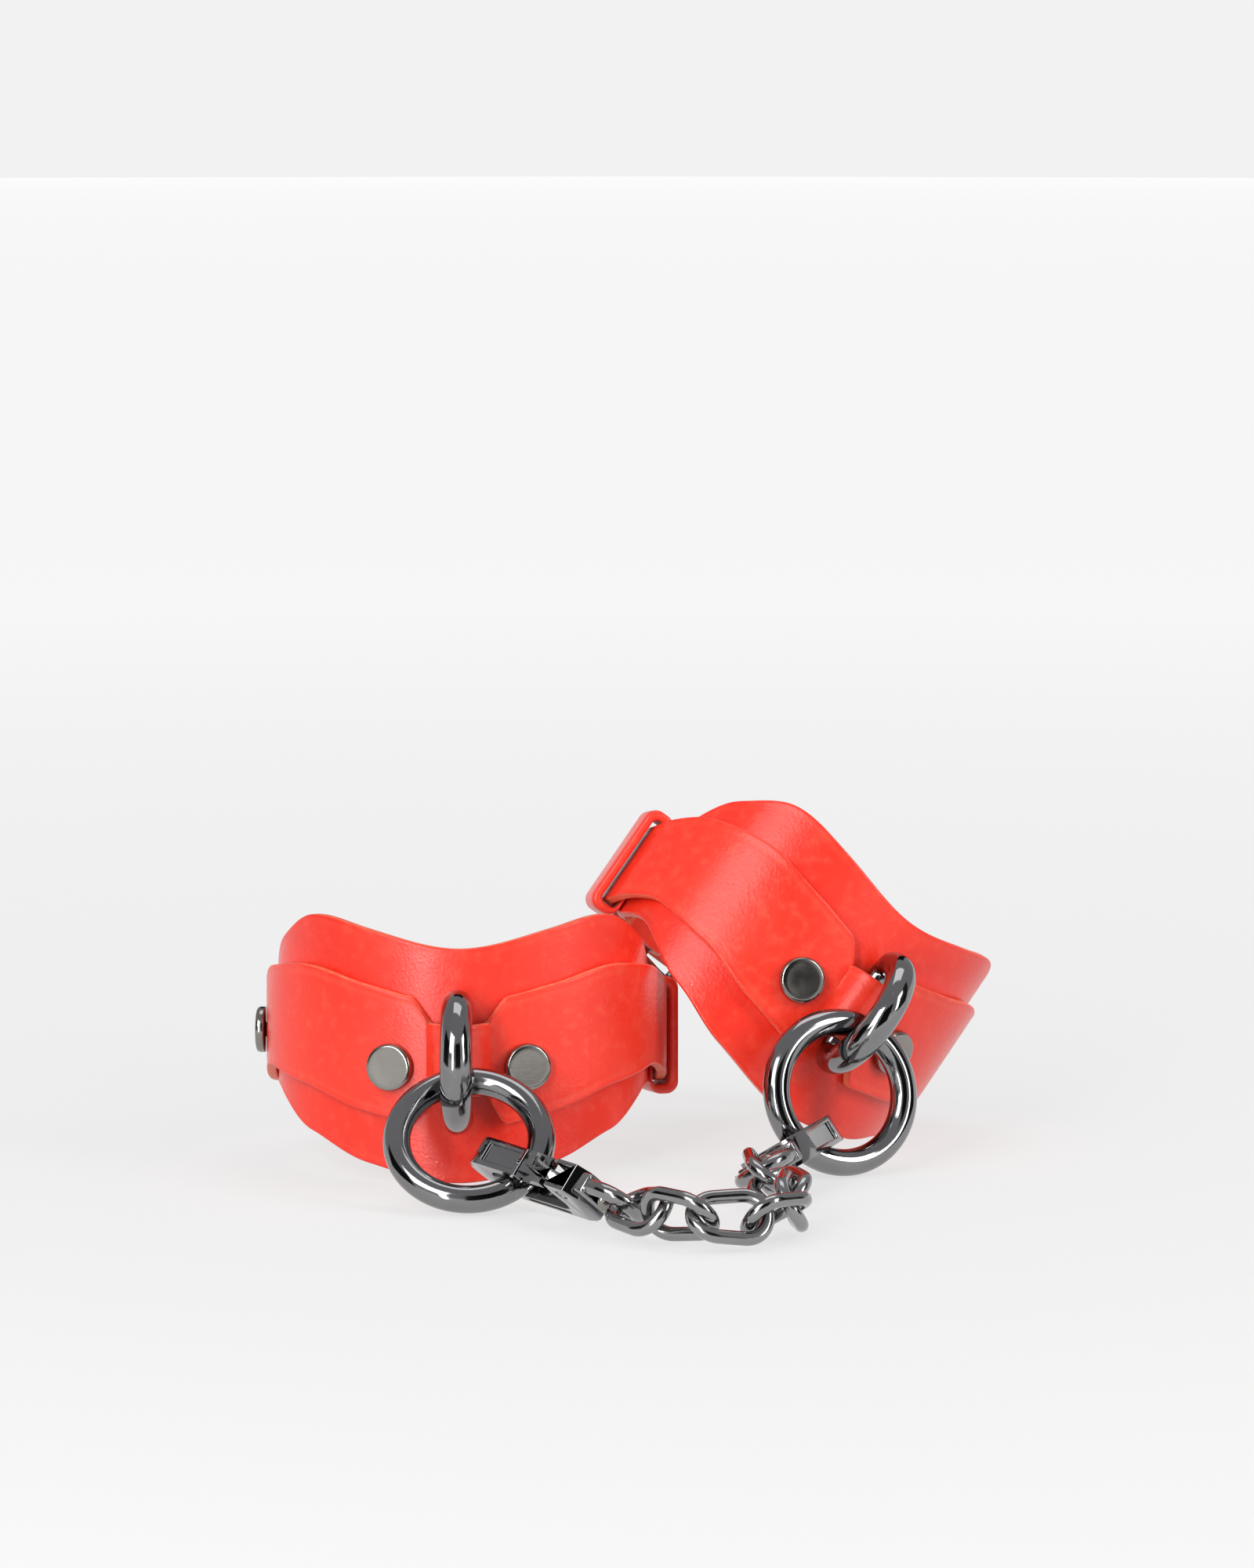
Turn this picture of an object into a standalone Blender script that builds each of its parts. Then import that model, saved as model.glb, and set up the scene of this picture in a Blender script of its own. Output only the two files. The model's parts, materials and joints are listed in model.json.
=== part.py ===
"""A pair of buckled leather wrist cuffs, joined by two swivel snap hooks and a short curb chain.

Each cuff is a wide base band with a narrower strap round it. The strap holds a D-ring at the front
and closes at the back with a buckle. An O-ring hangs in each D-ring, a snap hook holds each O-ring,
and seven chain links run between the two hooks' swivel eyes.
Millimetres are written as numbers times MM. +Z is up, and the pair is seen from -Y.
"""
import math
from bisect import bisect_left

import bmesh
import bpy
from mathutils import Matrix, Vector

MM = 0.001
GAP = 0.3                      # running gap between pieces, mm

# The cuff's plan, seen from above: an oval, blunter at the back than at the front.
HALF_WIDTH = 39.3
FRONT_DEPTH = 33.0
BACK_DEPTH = 28.0

# Leather.
BASE_THICKNESS = 2.2
STRAP_THICKNESS = 2.2
BELT_HALF = 9.6                # half the strap's height behind the sides
BELT_RISE = 2.6                # the belt's mid-line stands this much above the front's

# Where things are along the strap, from the front centre, on the buckle's side.
KEEPER_AT = 64.0
BASE_END = 76.0
FOLD_START = 78.5
FOLD_RIVET_AT = 84.0
HEEL_BAR_AT = 93.0
FRONT_BAR_AT = 110.0
# And on the other side.
SIDE_RIVET_AT = 58.0
BASE_TAIL_END = 105.0
TAIL_TIP_AT = 73.0             # measured from the front on the buckle's side
TAIL_HOLES = ((84.5, 88.5), (92.8, 103.8))

# Keeper loop: its wall is thin next to the base and thick outside.
KEEPER_RAISED = 0.35
KEEPER_HALF = 4.6              # half its width along the strap
KEEPER_IN = 0.35
KEEPER_OUT = 6.9
KEEPER_THIN = 0.6
KEEPER_WALL = 2.0
KEEPER_ROOM = 1.0              # room above and below the strap
KEEPER_ROUND = 2.6

# Front hardware.
RIVET_AT = 13.5
CAP_RADIUS = 4.9
CAP_HEIGHT = 1.9
SHANK_RADIUS = 1.6
BAR_RADIUS = 2.4               # the D-ring's bar, in the strap
BOW_RADIUS = 3.3               # the D-ring's bow
D_HALF = 11.65                 # half the D-ring's height, on its wire's centre line
D_REACH = 5.8                  # from the bar to the centre of the bow's arc
O_RADIUS = 14.8
O_WIRE = 2.9
LEFT_CONTACT = (11.2, -3.8)    # the O-ring's wire in the D-ring: out from the base, and up
RIGHT_CONTACT = (11.2, -3.3)

# Buckle.
BUCKLE_HALF = 12.2
BUCKLE_RADIUS = 1.4
HEEL_BAR_RADIUS = 1.08
PRONG_RADIUS = 0.95
PRONG_LOOP = 2.5

# Snap hook: x runs from the swivel's collar to the nose, y to the gate's side, z is the thickness.
HOOK_HALF = 3.1
COLLAR_X = 3.0                 # where the body ends and the swivel begins
JAW_WIRE_X = 25.5
PIVOT = (8.4, 3.6)
PIN_RADIUS = 1.1
EYE_REACH = 6.0
EYE_HALF = 5.2
EYE_WIRE = 1.6
POST_RADIUS = 1.5

# Chain.
LINK_WIRE = 1.5
LINK_PITCH = 11.0
LINK_SLACK = 0.5               # how far each link's wire stands back from the meeting point
LINK_HALF_WIDTH = 4.7
LINK_TWIST = 26.0              # degrees from one end of a link to the other
LINK_HEADINGS = (-58.0, -35.0, 9.0, 51.0, 90.0)      # the last two links close the chain
LINK_HEIGHTS = (6.1, 6.6, 6.2, 6.6, 6.7)
LAST_BEND_TILT = 143.0
LINK_ROLLS = (36.0, -62.0, 48.0, -39.0, 70.0, -29.0, 50.0)

# How the two cuffs lie, in the frame whose origin is under the first cuff's front.
LEFT_CENTRE = (0.4, 35.2, 22.3)
LEFT_LEAN = 4.0                # degrees, back
RIGHT_CENTRE = (66.6, 60.0, 32.6)
RIGHT_AXIS = (0.561, 0.235, 0.794)
RIGHT_FRONT = (0.455, -0.889, -0.050)
D_RAISED = 1.7                 # the D-ring hangs this much above the front's middle
LEFT_D_SWING = 0.0
RIGHT_D_SWING = -12.0
LEFT_RING_WIRE = (1.0, 0.0, 0.0)      # the level line the O-ring leans about
RIGHT_RING_WIRE = (0.906, 0.42, 0.0)
LEFT_RING_TURN = 10.5          # degrees, how far the O-ring has slid round in the D-ring
RIGHT_RING_TURN = -26.0
LEFT_HOOK_ON_RING = 54.0       # degrees round the O-ring from its lowest point
RIGHT_HOOK_ON_RING = -44.0
LEFT_HOOK_DIRECTION = (-0.63, 0.775, 0.05)
RIGHT_HOOK_DIRECTION = (0.30, 0.95, -0.02)
LEFT_HOOK_ROLL = 38.0
RIGHT_HOOK_ROLL = 32.0
ORIGIN = (35.4, 12.1, -0.3)      # moved to the middle of the whole pair's box

LEATHER = ((0.80, 0.06, 0.035), 0.55, 0.0)
STRAP_LEATHER = ((0.82, 0.07, 0.04), 0.55, 0.0)
GUNMETAL = ((0.23, 0.23, 0.24), 0.28, 1.0)
RIVET_METAL = ((0.30, 0.29, 0.28), 0.35, 1.0)
SPRING_STEEL = ((0.45, 0.45, 0.46), 0.3, 1.0)


# ---------------------------------------------------------------- the oval plan

def oval_table(steps=720):
    """Arc length, x, y round the oval from the back, through the front, to the back."""
    rows = []
    length = 0.0
    previous = None
    for i in range(steps + 1):
        angle = -math.pi + 2 * math.pi * i / steps
        depth = FRONT_DEPTH if abs(angle) < math.pi / 2 else BACK_DEPTH
        x = HALF_WIDTH * math.sin(angle)
        y = -depth * math.cos(angle)
        if previous:
            length += math.hypot(x - previous[0], y - previous[1])
        previous = (x, y)
        rows.append((length, x, y))
    half = length / 2
    return [(s - half, x, y) for s, x, y in rows], length


OVAL, PERIMETER = oval_table()
OVAL_LENGTHS = [row[0] for row in OVAL]


def oval_xy(s):
    s = (s + PERIMETER / 2) % PERIMETER - PERIMETER / 2
    i = min(max(bisect_left(OVAL_LENGTHS, s), 1), len(OVAL) - 1)
    s0, x0, y0 = OVAL[i - 1]
    s1, x1, y1 = OVAL[i]
    k = (s - s0) / (s1 - s0)
    return x0 + k * (x1 - x0), y0 + k * (y1 - y0)


def oval_direction(s):
    x0, y0 = oval_xy(s - 0.5)
    x1, y1 = oval_xy(s + 0.5)
    return Vector((x1 - x0, y1 - y0, 0.0)).normalized()


def on_cuff(s, out, z):
    """A point at arc length s, standing out from the base's outer face, in mm."""
    x, y = oval_xy(s)
    along = oval_direction(s)
    return Vector((x + along.y * out, y - along.x * out, z))


def cuff_frame(side, s, out, z):
    """x along the strap towards the buckle's end, y outwards, z across the strap."""
    along = oval_direction(side * s) * side
    outward = oval_direction(side * s)
    outward = Vector((outward.y, -outward.x, 0.0))
    across = along.cross(outward)
    frame = Matrix((along, outward, across)).transposed().to_4x4()
    frame.translation = on_cuff(side * s, out, z)
    return frame


# ---------------------------------------------------------------- profiles along the strap

def smooth(s, knots):
    """A smooth curve through (distance, value) knots, level wherever the values turn."""
    xs = [k[0] for k in knots]
    ys = [k[1] for k in knots]
    s = min(max(s, xs[0]), xs[-1])
    i = min(max(bisect_left(xs, s), 1), len(xs) - 1)
    slopes = [(ys[j + 1] - ys[j]) / (xs[j + 1] - xs[j]) for j in range(len(xs) - 1)]

    def tangent(j):
        if j == 0 or j == len(xs) - 1:
            return 0.0
        a, b = slopes[j - 1], slopes[j]
        return 0.0 if a * b <= 0 else 2 * a * b / (a + b)

    h = xs[i] - xs[i - 1]
    t = (s - xs[i - 1]) / h
    return ((2 * t**3 - 3 * t**2 + 1) * ys[i - 1] + (t**3 - 2 * t**2 + t) * h * tangent(i - 1)
            + (-2 * t**3 + 3 * t**2) * ys[i] + (t**3 - t**2) * h * tangent(i))


RISE = [(0, 0), (20, 3.9), (35, 8.0), (48, 8.6), (64, BELT_RISE), (112, BELT_RISE)]
BASE_HALF = [(0, 24.4), (20, 24.4), (35, 22.7), (46, 17.5), (60, 10.8), (68, BELT_HALF - 0.4),
             (112, BELT_HALF - 0.4)]
STRAP_HALF = [(0, 7.4), (4.6, 7.4), (10.0, 13.2), (20, 13.2), (35, 12.4), (50, 10.4),
              (62, BELT_HALF), (112, BELT_HALF)]


def rise(s):
    return smooth(abs(s), RISE)


def base_half(s):
    return smooth(abs(s), BASE_HALF)


def strap_half(s):
    return smooth(abs(s), STRAP_HALF)


def strap_out(s, side):
    """How far the strap's inner face stands off the base: over the D-ring's bar and the keeper."""
    bulge = (2 * BAR_RADIUS + GAP) * math.exp(-((abs(s) / 4.0) ** 4))
    keeper = smooth(side * s, [(48, 0), (58, 1.6), (70, 1.6), (77, 0)])
    return GAP + bulge + keeper


# ---------------------------------------------------------------- making objects

def clear_scene():
    for obj in list(bpy.data.objects):
        bpy.data.objects.remove(obj, do_unlink=True)


def collection(name):
    made = bpy.data.collections.new(name)
    bpy.context.scene.collection.children.link(made)
    return made


def material(name, look):
    colour, roughness, metallic = look
    made = bpy.data.materials.get(name)
    if made is None:
        made = bpy.data.materials.new(name)
        made.use_nodes = True
        shader = made.node_tree.nodes["Principled BSDF"]
        shader.inputs["Base Color"].default_value = (*colour, 1.0)
        shader.inputs["Roughness"].default_value = roughness
        shader.inputs["Metallic"].default_value = metallic
    return made


def add_part(name, mesh, look, frame, pivot=(0.0, 0.0, 0.0)):
    """An object built in frame's own mm, with its origin at pivot, which is on its joint's axis."""
    pivot = Vector(pivot)
    mesh.transform(Matrix.Translation(-pivot))
    mesh.transform(Matrix.Scale(MM, 4))
    mesh.materials.clear()
    mesh.materials.append(material(name + "_finish", look))
    obj = bpy.data.objects.new(name, mesh)
    PARTS.objects.link(obj)
    place = SHIFT @ frame @ Matrix.Translation(pivot)
    place.translation *= MM
    obj.matrix_world = place
    return obj


def add_cutter(mesh, target, operation="DIFFERENCE"):
    """A cutter in the same mm as the target was built in; it takes the target's place."""
    cutter = bpy.data.objects.new(target.name + "_cutter", mesh)
    mesh.transform(Matrix.Scale(MM, 4))
    CUTTERS.objects.link(cutter)
    cutter.matrix_world = target.matrix_world @ Matrix.Translation(-Vector(target["pivot"]) * MM)
    cutter.hide_render = True
    cutter.display_type = "WIRE"
    cut = target.modifiers.new("cut", "BOOLEAN")
    cut.operation = operation
    cut.solver = "EXACT"
    cut.object = cutter
    return cutter


def mesh_from(bm, name):
    mesh = bpy.data.meshes.new(name)
    bm.normal_update()
    bm.to_mesh(mesh)
    bm.free()
    return mesh


def box_mesh(low, high):
    bm = bmesh.new()
    bmesh.ops.create_cube(bm, size=1.0)
    size = Vector(high) - Vector(low)
    middle = (Vector(high) + Vector(low)) / 2
    bmesh.ops.scale(bm, vec=size, verts=bm.verts)
    bmesh.ops.translate(bm, vec=middle, verts=bm.verts)
    return mesh_from(bm, "box")


def cylinder_mesh(radius, start, end, sides=16):
    """A cylinder from one point to another, in mm."""
    start, end = Vector(start), Vector(end)
    bm = bmesh.new()
    bmesh.ops.create_cone(bm, cap_ends=True, segments=sides, radius1=radius, radius2=radius,
                          depth=(end - start).length)
    turn = Vector((0, 0, 1)).rotation_difference(end - start).to_matrix().to_4x4()
    bmesh.ops.transform(bm, matrix=Matrix.Translation((start + end) / 2) @ turn, verts=bm.verts)
    return mesh_from(bm, "cylinder")


def plate_mesh(outline, z0, z1):
    """A flat outline filled and extruded between two heights."""
    curve = bpy.data.curves.new("outline", "CURVE")
    curve.dimensions = "2D"
    curve.fill_mode = "BOTH"
    curve.extrude = (z1 - z0) / 2
    spline = curve.splines.new("POLY")
    spline.points.add(len(outline) - 1)
    for point, (x, y) in zip(spline.points, outline):
        point.co = (x, y, 0.0, 1.0)
    spline.use_cyclic_u = True
    return curve_to_mesh(curve, Matrix.Translation((0, 0, (z0 + z1) / 2)))


def wire_mesh(points, radius, cyclic=False, resolution=3, factors=None):
    """A round wire through the points; factors thin it at some of them."""
    curve = bpy.data.curves.new("wire", "CURVE")
    curve.dimensions = "3D"
    curve.bevel_depth = radius
    curve.bevel_resolution = resolution
    curve.use_fill_caps = True
    spline = curve.splines.new("POLY")
    spline.points.add(len(points) - 1)
    for i, (point, co) in enumerate(zip(spline.points, points)):
        point.co = (*co, 1.0)
        point.radius = factors[i] if factors else 1.0
    spline.use_cyclic_u = cyclic
    return curve_to_mesh(curve, Matrix.Identity(4))


def curve_to_mesh(curve, place):
    holder = bpy.data.objects.new("curve", curve)
    bpy.context.scene.collection.objects.link(holder)
    depsgraph = bpy.context.evaluated_depsgraph_get()
    mesh = bpy.data.meshes.new_from_object(holder.evaluated_get(depsgraph))
    bpy.data.objects.remove(holder, do_unlink=True)
    bpy.data.curves.remove(curve)
    bm = bmesh.new()
    bm.from_mesh(mesh)
    bmesh.ops.remove_doubles(bm, verts=bm.verts, dist=0.001)
    bmesh.ops.recalc_face_normals(bm, faces=bm.faces)
    bm.to_mesh(mesh)
    bm.free()
    mesh.transform(place)
    return mesh


def turned_object(name, profile, look, frame, pivot=(0.0, 0.0, 0.0), steps=16):
    """A profile of (radius, height) pairs, from the top down, turned round the frame's z."""
    bm = bmesh.new()
    verts = [bm.verts.new((r, 0.0, z)) for r, z in profile]
    for a, b in zip(verts, verts[1:]):
        bm.edges.new((a, b))
    obj = add_part(name, mesh_from(bm, name), look, frame, pivot)
    screw = obj.modifiers.new("turn", "SCREW")
    screw.axis = "Z"
    screw.steps = steps
    screw.render_steps = steps
    screw.use_merge_vertices = True
    screw.merge_threshold = 0.00001
    obj["pivot"] = tuple(pivot)
    return obj


def body_part(name, mesh, look, frame, pivot=(0.0, 0.0, 0.0)):
    obj = add_part(name, mesh, look, frame, pivot)
    obj["pivot"] = tuple(pivot)
    return obj


def arc(cx, cy, radius, start, end, steps):
    """Points on an arc, in degrees, both ends included."""
    points = []
    for i in range(steps + 1):
        a = math.radians(start + (end - start) * i / steps)
        points.append((cx + radius * math.cos(a), cy + radius * math.sin(a)))
    return points


# ---------------------------------------------------------------- leather

def band(name, stations, low, high, out, thickness, look, frame):
    """A strip of leather that follows the oval, thickened outwards."""
    bm = bmesh.new()
    columns = len(stations) - 1
    bmesh.ops.create_grid(bm, x_segments=columns, y_segments=1, size=1.0)
    for vert in bm.verts:
        s = stations[round((vert.co.x + 1) / 2 * columns)]
        vert.co = on_cuff(s, out(s), high(s) if vert.co.y > 0 else low(s))
    obj = body_part(name, mesh_from(bm, name), look, frame)
    shell = obj.modifiers.new("thickness", "SOLIDIFY")
    shell.thickness = thickness * MM
    shell.offset = 1.0
    return obj


def spread(start, end, step):
    count = max(1, round(abs(end - start) / step))
    return [start + (end - start) * i / count for i in range(count)]


def base_band(prefix, side, frame):
    """The wide band next to the wrist, open at the back under the buckle."""
    ends = sorted((side * BASE_END, -side * BASE_TAIL_END))
    stations = spread(ends[0], ends[1], 3.2) + [ends[1]]
    obj = band(prefix + "_base_band", stations,
               lambda s: rise(s) - base_half(s), lambda s: rise(s) + base_half(s),
               lambda s: -BASE_THICKNESS, BASE_THICKNESS, LEATHER, frame)
    for s in (-RIVET_AT, RIVET_AT, -side * SIDE_RIVET_AT):
        z = 0.0 if abs(s) == RIVET_AT else rise(s)
        drill(obj, s, z)
    return obj


def drill(obj, s, z):
    add_cutter(cylinder_mesh(SHANK_RADIUS + GAP, on_cuff(s, -8, z), on_cuff(s, 8, z)), obj)


def tail_out(s):
    """The tail's inner face as it climbs over the buckle's bar, s from the front, buckle's side."""
    over = STRAP_THICKNESS + 2 * GAP
    return smooth(s, [(70, over), (77, over), (81, 4.15), (93, 4.2), (97.5, 3.6), (107, GAP), (130, GAP)])


def slot_mesh(x0, x1, radius, y0, y1):
    """A round-ended slot along x, cut through along y."""
    outline = arc(x1 - radius, 0.0, radius, -90, 90, 6) + arc(x0 + radius, 0.0, radius, 90, 270, 6)
    mesh = plate_mesh(outline, -y1, -y0)
    mesh.transform(Matrix.Rotation(math.radians(90), 4, "X"))
    return mesh


def strap(prefix, side, frame):
    """The strap that carries the D-ring; its far end runs through the buckle as the tail."""
    tail_end = PERIMETER - TAIL_TIP_AT
    stations = (spread(-tail_end, -62, 3.0) + spread(-62, -11, 4.0) + spread(-11, 11, 1.0)
                + spread(11, FOLD_START, 4.0) + spread(FOLD_START, HEEL_BAR_AT, 2.5))
    fold = fold_profile()

    def out(s):
        back = PERIMETER + s if s < 0 else PERIMETER
        if s < -BASE_TAIL_END:
            return tail_out(back)
        return strap_out(side * s, side)

    def middle(s):
        return rise(s) + D_RAISED * math.exp(-((s / 7.0) ** 4))

    def low(s):
        return middle(s) - strap_half(s) * tip(s, tail_end)

    def high(s):
        return middle(s) + strap_half(s) * tip(s, tail_end)

    stations = [side * s for s in stations]
    if side < 0:
        stations.reverse()
    bm = bmesh.new()
    points = []
    for s in stations:
        points.append((s, out(side * s), low(side * s), high(side * s)))
    belt_low, belt_high = BELT_RISE - BELT_HALF, BELT_RISE + BELT_HALF
    end = [(side * (HEEL_BAR_AT + dx), o, belt_low, belt_high) for dx, o in fold]
    points = end[::-1] + points if side < 0 else points + end
    bmesh.ops.create_grid(bm, x_segments=len(points) - 1, y_segments=1, size=1.0)
    for vert in bm.verts:
        s, o, z0, z1 = points[round((vert.co.x + 1) / 2 * (len(points) - 1))]
        vert.co = on_cuff(s, o, z1 if vert.co.y > 0 else z0)
    obj = body_part(prefix + "_strap", mesh_from(bm, prefix + "_strap"), STRAP_LEATHER, frame)
    shell = obj.modifiers.new("thickness", "SOLIDIFY")
    shell.thickness = STRAP_THICKNESS * MM
    shell.offset = 1.0
    shell.use_even_offset = True
    for s in (-RIVET_AT, RIVET_AT, -side * SIDE_RIVET_AT):
        z = 0.0 if abs(s) == RIVET_AT else rise(s)
        drill(obj, s, z)
    cut_buckle_end(obj, side)
    return obj


def tip(s, tail_end):
    """The tail's end narrows to a rounded point."""
    left = tail_end + s
    return 1.0 if left > 9 else math.sqrt(max(0.12, 1 - ((9 - left) / 9) ** 2 * 0.88))


def fold_profile():
    """The strap's inner face from the heel bar, round it, and back under to FOLD_START."""
    radius = 1.45
    points = []
    for angle in range(75, -91, -15):
        a = math.radians(angle)
        points.append((radius * math.cos(a), 0.15 + radius * math.sin(a)))
    points.append((-2.2, -0.35))
    points.append((-5.5, -0.02))
    points.append((FOLD_START - HEEL_BAR_AT, -0.02))
    return points


def cut_buckle_end(obj, side):
    """The prong's slot round the bar, the fold's rivet hole and the tail's row of oval holes."""
    z = BELT_RISE
    frame = cuff_frame(side, HEEL_BAR_AT, 0.0, z)
    slot = box_mesh((-3.6, -6.0, -1.9), (9.0, 3.95, 1.9))
    slot.transform(frame)
    add_cutter(slot, obj)
    s = side * FOLD_RIVET_AT
    add_cutter(cylinder_mesh(SHANK_RADIUS + GAP, on_cuff(s, -8, z), on_cuff(s, 3.2, z)), obj)
    for start, end in TAIL_HOLES:
        hole = slot_mesh(start - HEEL_BAR_AT, end - HEEL_BAR_AT, 1.6, 3.5, 8.5)
        hole.transform(frame)
        add_cutter(hole, obj)


# ---------------------------------------------------------------- rivets and rings

RIVET_PROFILE = ((0.0, 1.0), (0.82, 1.0), (0.93, 0.86), (1.0, 0.5), (1.0, 0.0))


def rivet(name, frame, s, z, inner, outer, cap=(CAP_RADIUS, CAP_HEIGHT)):
    """Cap, shank and inner cap in one, through the leather from inner to outer."""
    radius, height = cap
    place = frame @ axis_frame(on_cuff(s, 0, z), on_cuff(s, 1, z) - on_cuff(s, 0, z))
    top = outer + GAP
    profile = [(radius * r, top + height * h) for r, h in RIVET_PROFILE]
    back = inner - GAP - 0.05
    profile += [(SHANK_RADIUS, top), (SHANK_RADIUS, back), (3.1, back), (3.1, back - 0.5),
                (2.6, back - 0.85), (0.0, back - 0.85)]
    return turned_object(name, profile, RIVET_METAL, place, steps=14)


def axis_frame(point, direction):
    turn = Vector((0, 0, 1)).rotation_difference(Vector(direction)).to_matrix().to_4x4()
    return Matrix.Translation(point) @ turn


def d_ring_points():
    """The D-ring's centre line in its own plane: y outwards from the bar, z along the bar."""
    corner = 3.0
    points = [(0.0, z) for z in (-D_HALF + corner, -3.0, 3.0, D_HALF - corner)]
    points += arc(corner, D_HALF - corner, corner, 180, 90, 3)[1:]
    bow = arc(D_REACH, 0.0, D_HALF, 90, -90, 14)
    points += bow
    points += arc(corner, -D_HALF + corner, corner, -90, -180, 3)[:-1]
    factors = []
    for y, z in points:
        thin = BAR_RADIUS / BOW_RADIUS
        factors.append(thin + (1 - thin) * min(1.0, max(0.0, y / 4.0)))
    return [(0.0, -y, z) for y, z in points], factors


def d_ring(prefix, frame):
    points, factors = d_ring_points()
    mesh = wire_mesh(points, BOW_RADIUS, cyclic=True, resolution=3, factors=factors)
    return body_part(prefix + "_d_ring", mesh, GUNMETAL, frame)


def o_ring(prefix, frame):
    """The frame's origin is in the wire at the top; the ring hangs along the frame's -z."""
    points = []
    for i in range(32):
        a = 2 * math.pi * i / 32
        points.append((O_RADIUS * math.sin(a), 0.0, O_RADIUS * (math.cos(a) - 1)))
    mesh = wire_mesh(points, O_WIRE, cyclic=True, resolution=3)
    return body_part(prefix + "_o_ring", mesh, GUNMETAL, frame)


# ---------------------------------------------------------------- buckle and keeper

def buckle(prefix, side, cuff):
    """Frame and prong turn on the heel bar, which the strap's end is folded round."""
    frame = cuff @ cuff_frame(side, HEEL_BAR_AT, 0.15, BELT_RISE)
    reach = Vector((FRONT_BAR_AT - HEEL_BAR_AT, 4.15))
    turn = Matrix.Rotation(math.atan2(reach.y, reach.x), 4, "Z")
    length = reach.length
    half = BUCKLE_HALF
    corner = 3.0
    outline = [(0.0, -half + 1.2), (0.0, -6.0), (0.0, 6.0), (0.0, half - 1.2), (1.2, half)]
    outline += arc(length - corner, half - corner, corner, 90, 0, 3)
    outline += arc(length - corner, -half + corner, corner, 0, -90, 3)
    outline += [(1.2, -half)]
    factors = [HEEL_BAR_RADIUS / BUCKLE_RADIUS if x < 0.1 else 1.0 for x, z in outline]
    points = [(x, 0.0, z) for x, z in outline]
    mesh = wire_mesh(points, BUCKLE_RADIUS, cyclic=True, resolution=2, factors=factors)
    body_part(prefix + "_buckle_frame", mesh, GUNMETAL, frame @ turn)

    prong = [(1.0, 2.05), (5.0, 4.9), (length - 4.0, 6.9), (length + 0.5, 6.85), (length + 2.2, 6.3)]
    wire = wire_mesh([(x, y, 0.0) for x, y in prong], PRONG_RADIUS, resolution=2)
    prong_obj = body_part(prefix + "_prong", wire, GUNMETAL, frame)
    add_cutter(cylinder_mesh(PRONG_LOOP, (0, 0, -1.3), (0, 0, 1.3), 14), prong_obj, "UNION")
    add_cutter(cylinder_mesh(HEEL_BAR_RADIUS + GAP, (0, 0, -3), (0, 0, 3), 14), prong_obj)
    return frame


def keeper(prefix, side, cuff):
    """A closed leather loop round the strap, between it and the base."""
    frame = cuff @ cuff_frame(side, KEEPER_AT, 0.0, BELT_RISE + KEEPER_RAISED)
    inside = BELT_HALF + KEEPER_ROOM
    outside = inside + KEEPER_WALL
    outline = []
    for corner, start in (((KEEPER_OUT, outside), 0), ((KEEPER_IN, outside), 90),
                          ((KEEPER_IN, -outside), 180), ((KEEPER_OUT, -outside), 270)):
        y = corner[0] + KEEPER_ROUND * (-1 if corner[0] == KEEPER_OUT else 1)
        z = corner[1] + KEEPER_ROUND * (-1 if corner[1] > 0 else 1)
        outline += arc(z, y, KEEPER_ROUND, 90 - start, -start, 4)
    mesh = plate_mesh(outline[::-1], -KEEPER_HALF, KEEPER_HALF)
    mesh.transform(Matrix(((0, 0, 1, 0), (0, 1, 0, 0), (1, 0, 0, 0), (0, 0, 0, 1))))
    mesh.flip_normals()
    obj = body_part(prefix + "_keeper", mesh, STRAP_LEATHER, frame)
    hole = box_mesh((-2 * KEEPER_HALF, KEEPER_IN + KEEPER_THIN, -inside),
                    (2 * KEEPER_HALF, KEEPER_OUT - KEEPER_WALL, inside))
    add_cutter(hole, obj)
    return obj


# ---------------------------------------------------------------- snap hook

HOOK_OUTLINE = (
    [(COLLAR_X, -4.0), (5.5, -5.6), (9.0, -6.8)]
    + arc(29.6, 1.6, 8.4, -90, 0, 5)
    + arc(33.4, 2.3, 4.6, 0, 90, 4)
    + [(20.9, 6.9), (20.9, 4.6)]
    + arc(28.4, 0.1, 4.5, 90, -90, 6)
    + [(14.4, -4.2)]
    + arc(14.4, -1.3, 2.9, -90, -180, 2)[1:]
    + [(11.9, 3.4), (11.2, 6.9), (5.2, 6.9), (COLLAR_X, 4.0)])


def hook_body(prefix, frame):
    mesh = plate_mesh(HOOK_OUTLINE, -HOOK_HALF, HOOK_HALF)
    obj = body_part(prefix + "_body", mesh, GUNMETAL, frame, (JAW_WIRE_X, 0.0, 0.0))
    add_cutter(box_mesh((5.5, 0.55, -2.1), (13.5, 9.0, 2.1)), obj)
    add_cutter(cylinder_mesh(POST_RADIUS + GAP, (1, 0, 0), (5.49, 0, 0), 14), obj)
    add_cutter(cylinder_mesh(PIN_RADIUS + GAP, (*PIVOT, -6), (*PIVOT, 6), 14), obj)
    for z0, z1 in ((2.6, 5.0), (-5.0, -2.6)):
        add_cutter(box_mesh((14.0, -6.2, z0), (28.0, -5.0, z1)), obj)
    add_cutter(box_mesh((22.5, 6.3, -1.9), (32.5, 9.0, 1.9)), obj)
    add_cutter(box_mesh((12.5, -9.0, -1.9), (28.5, -6.2, 1.9)), obj)
    return obj


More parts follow.
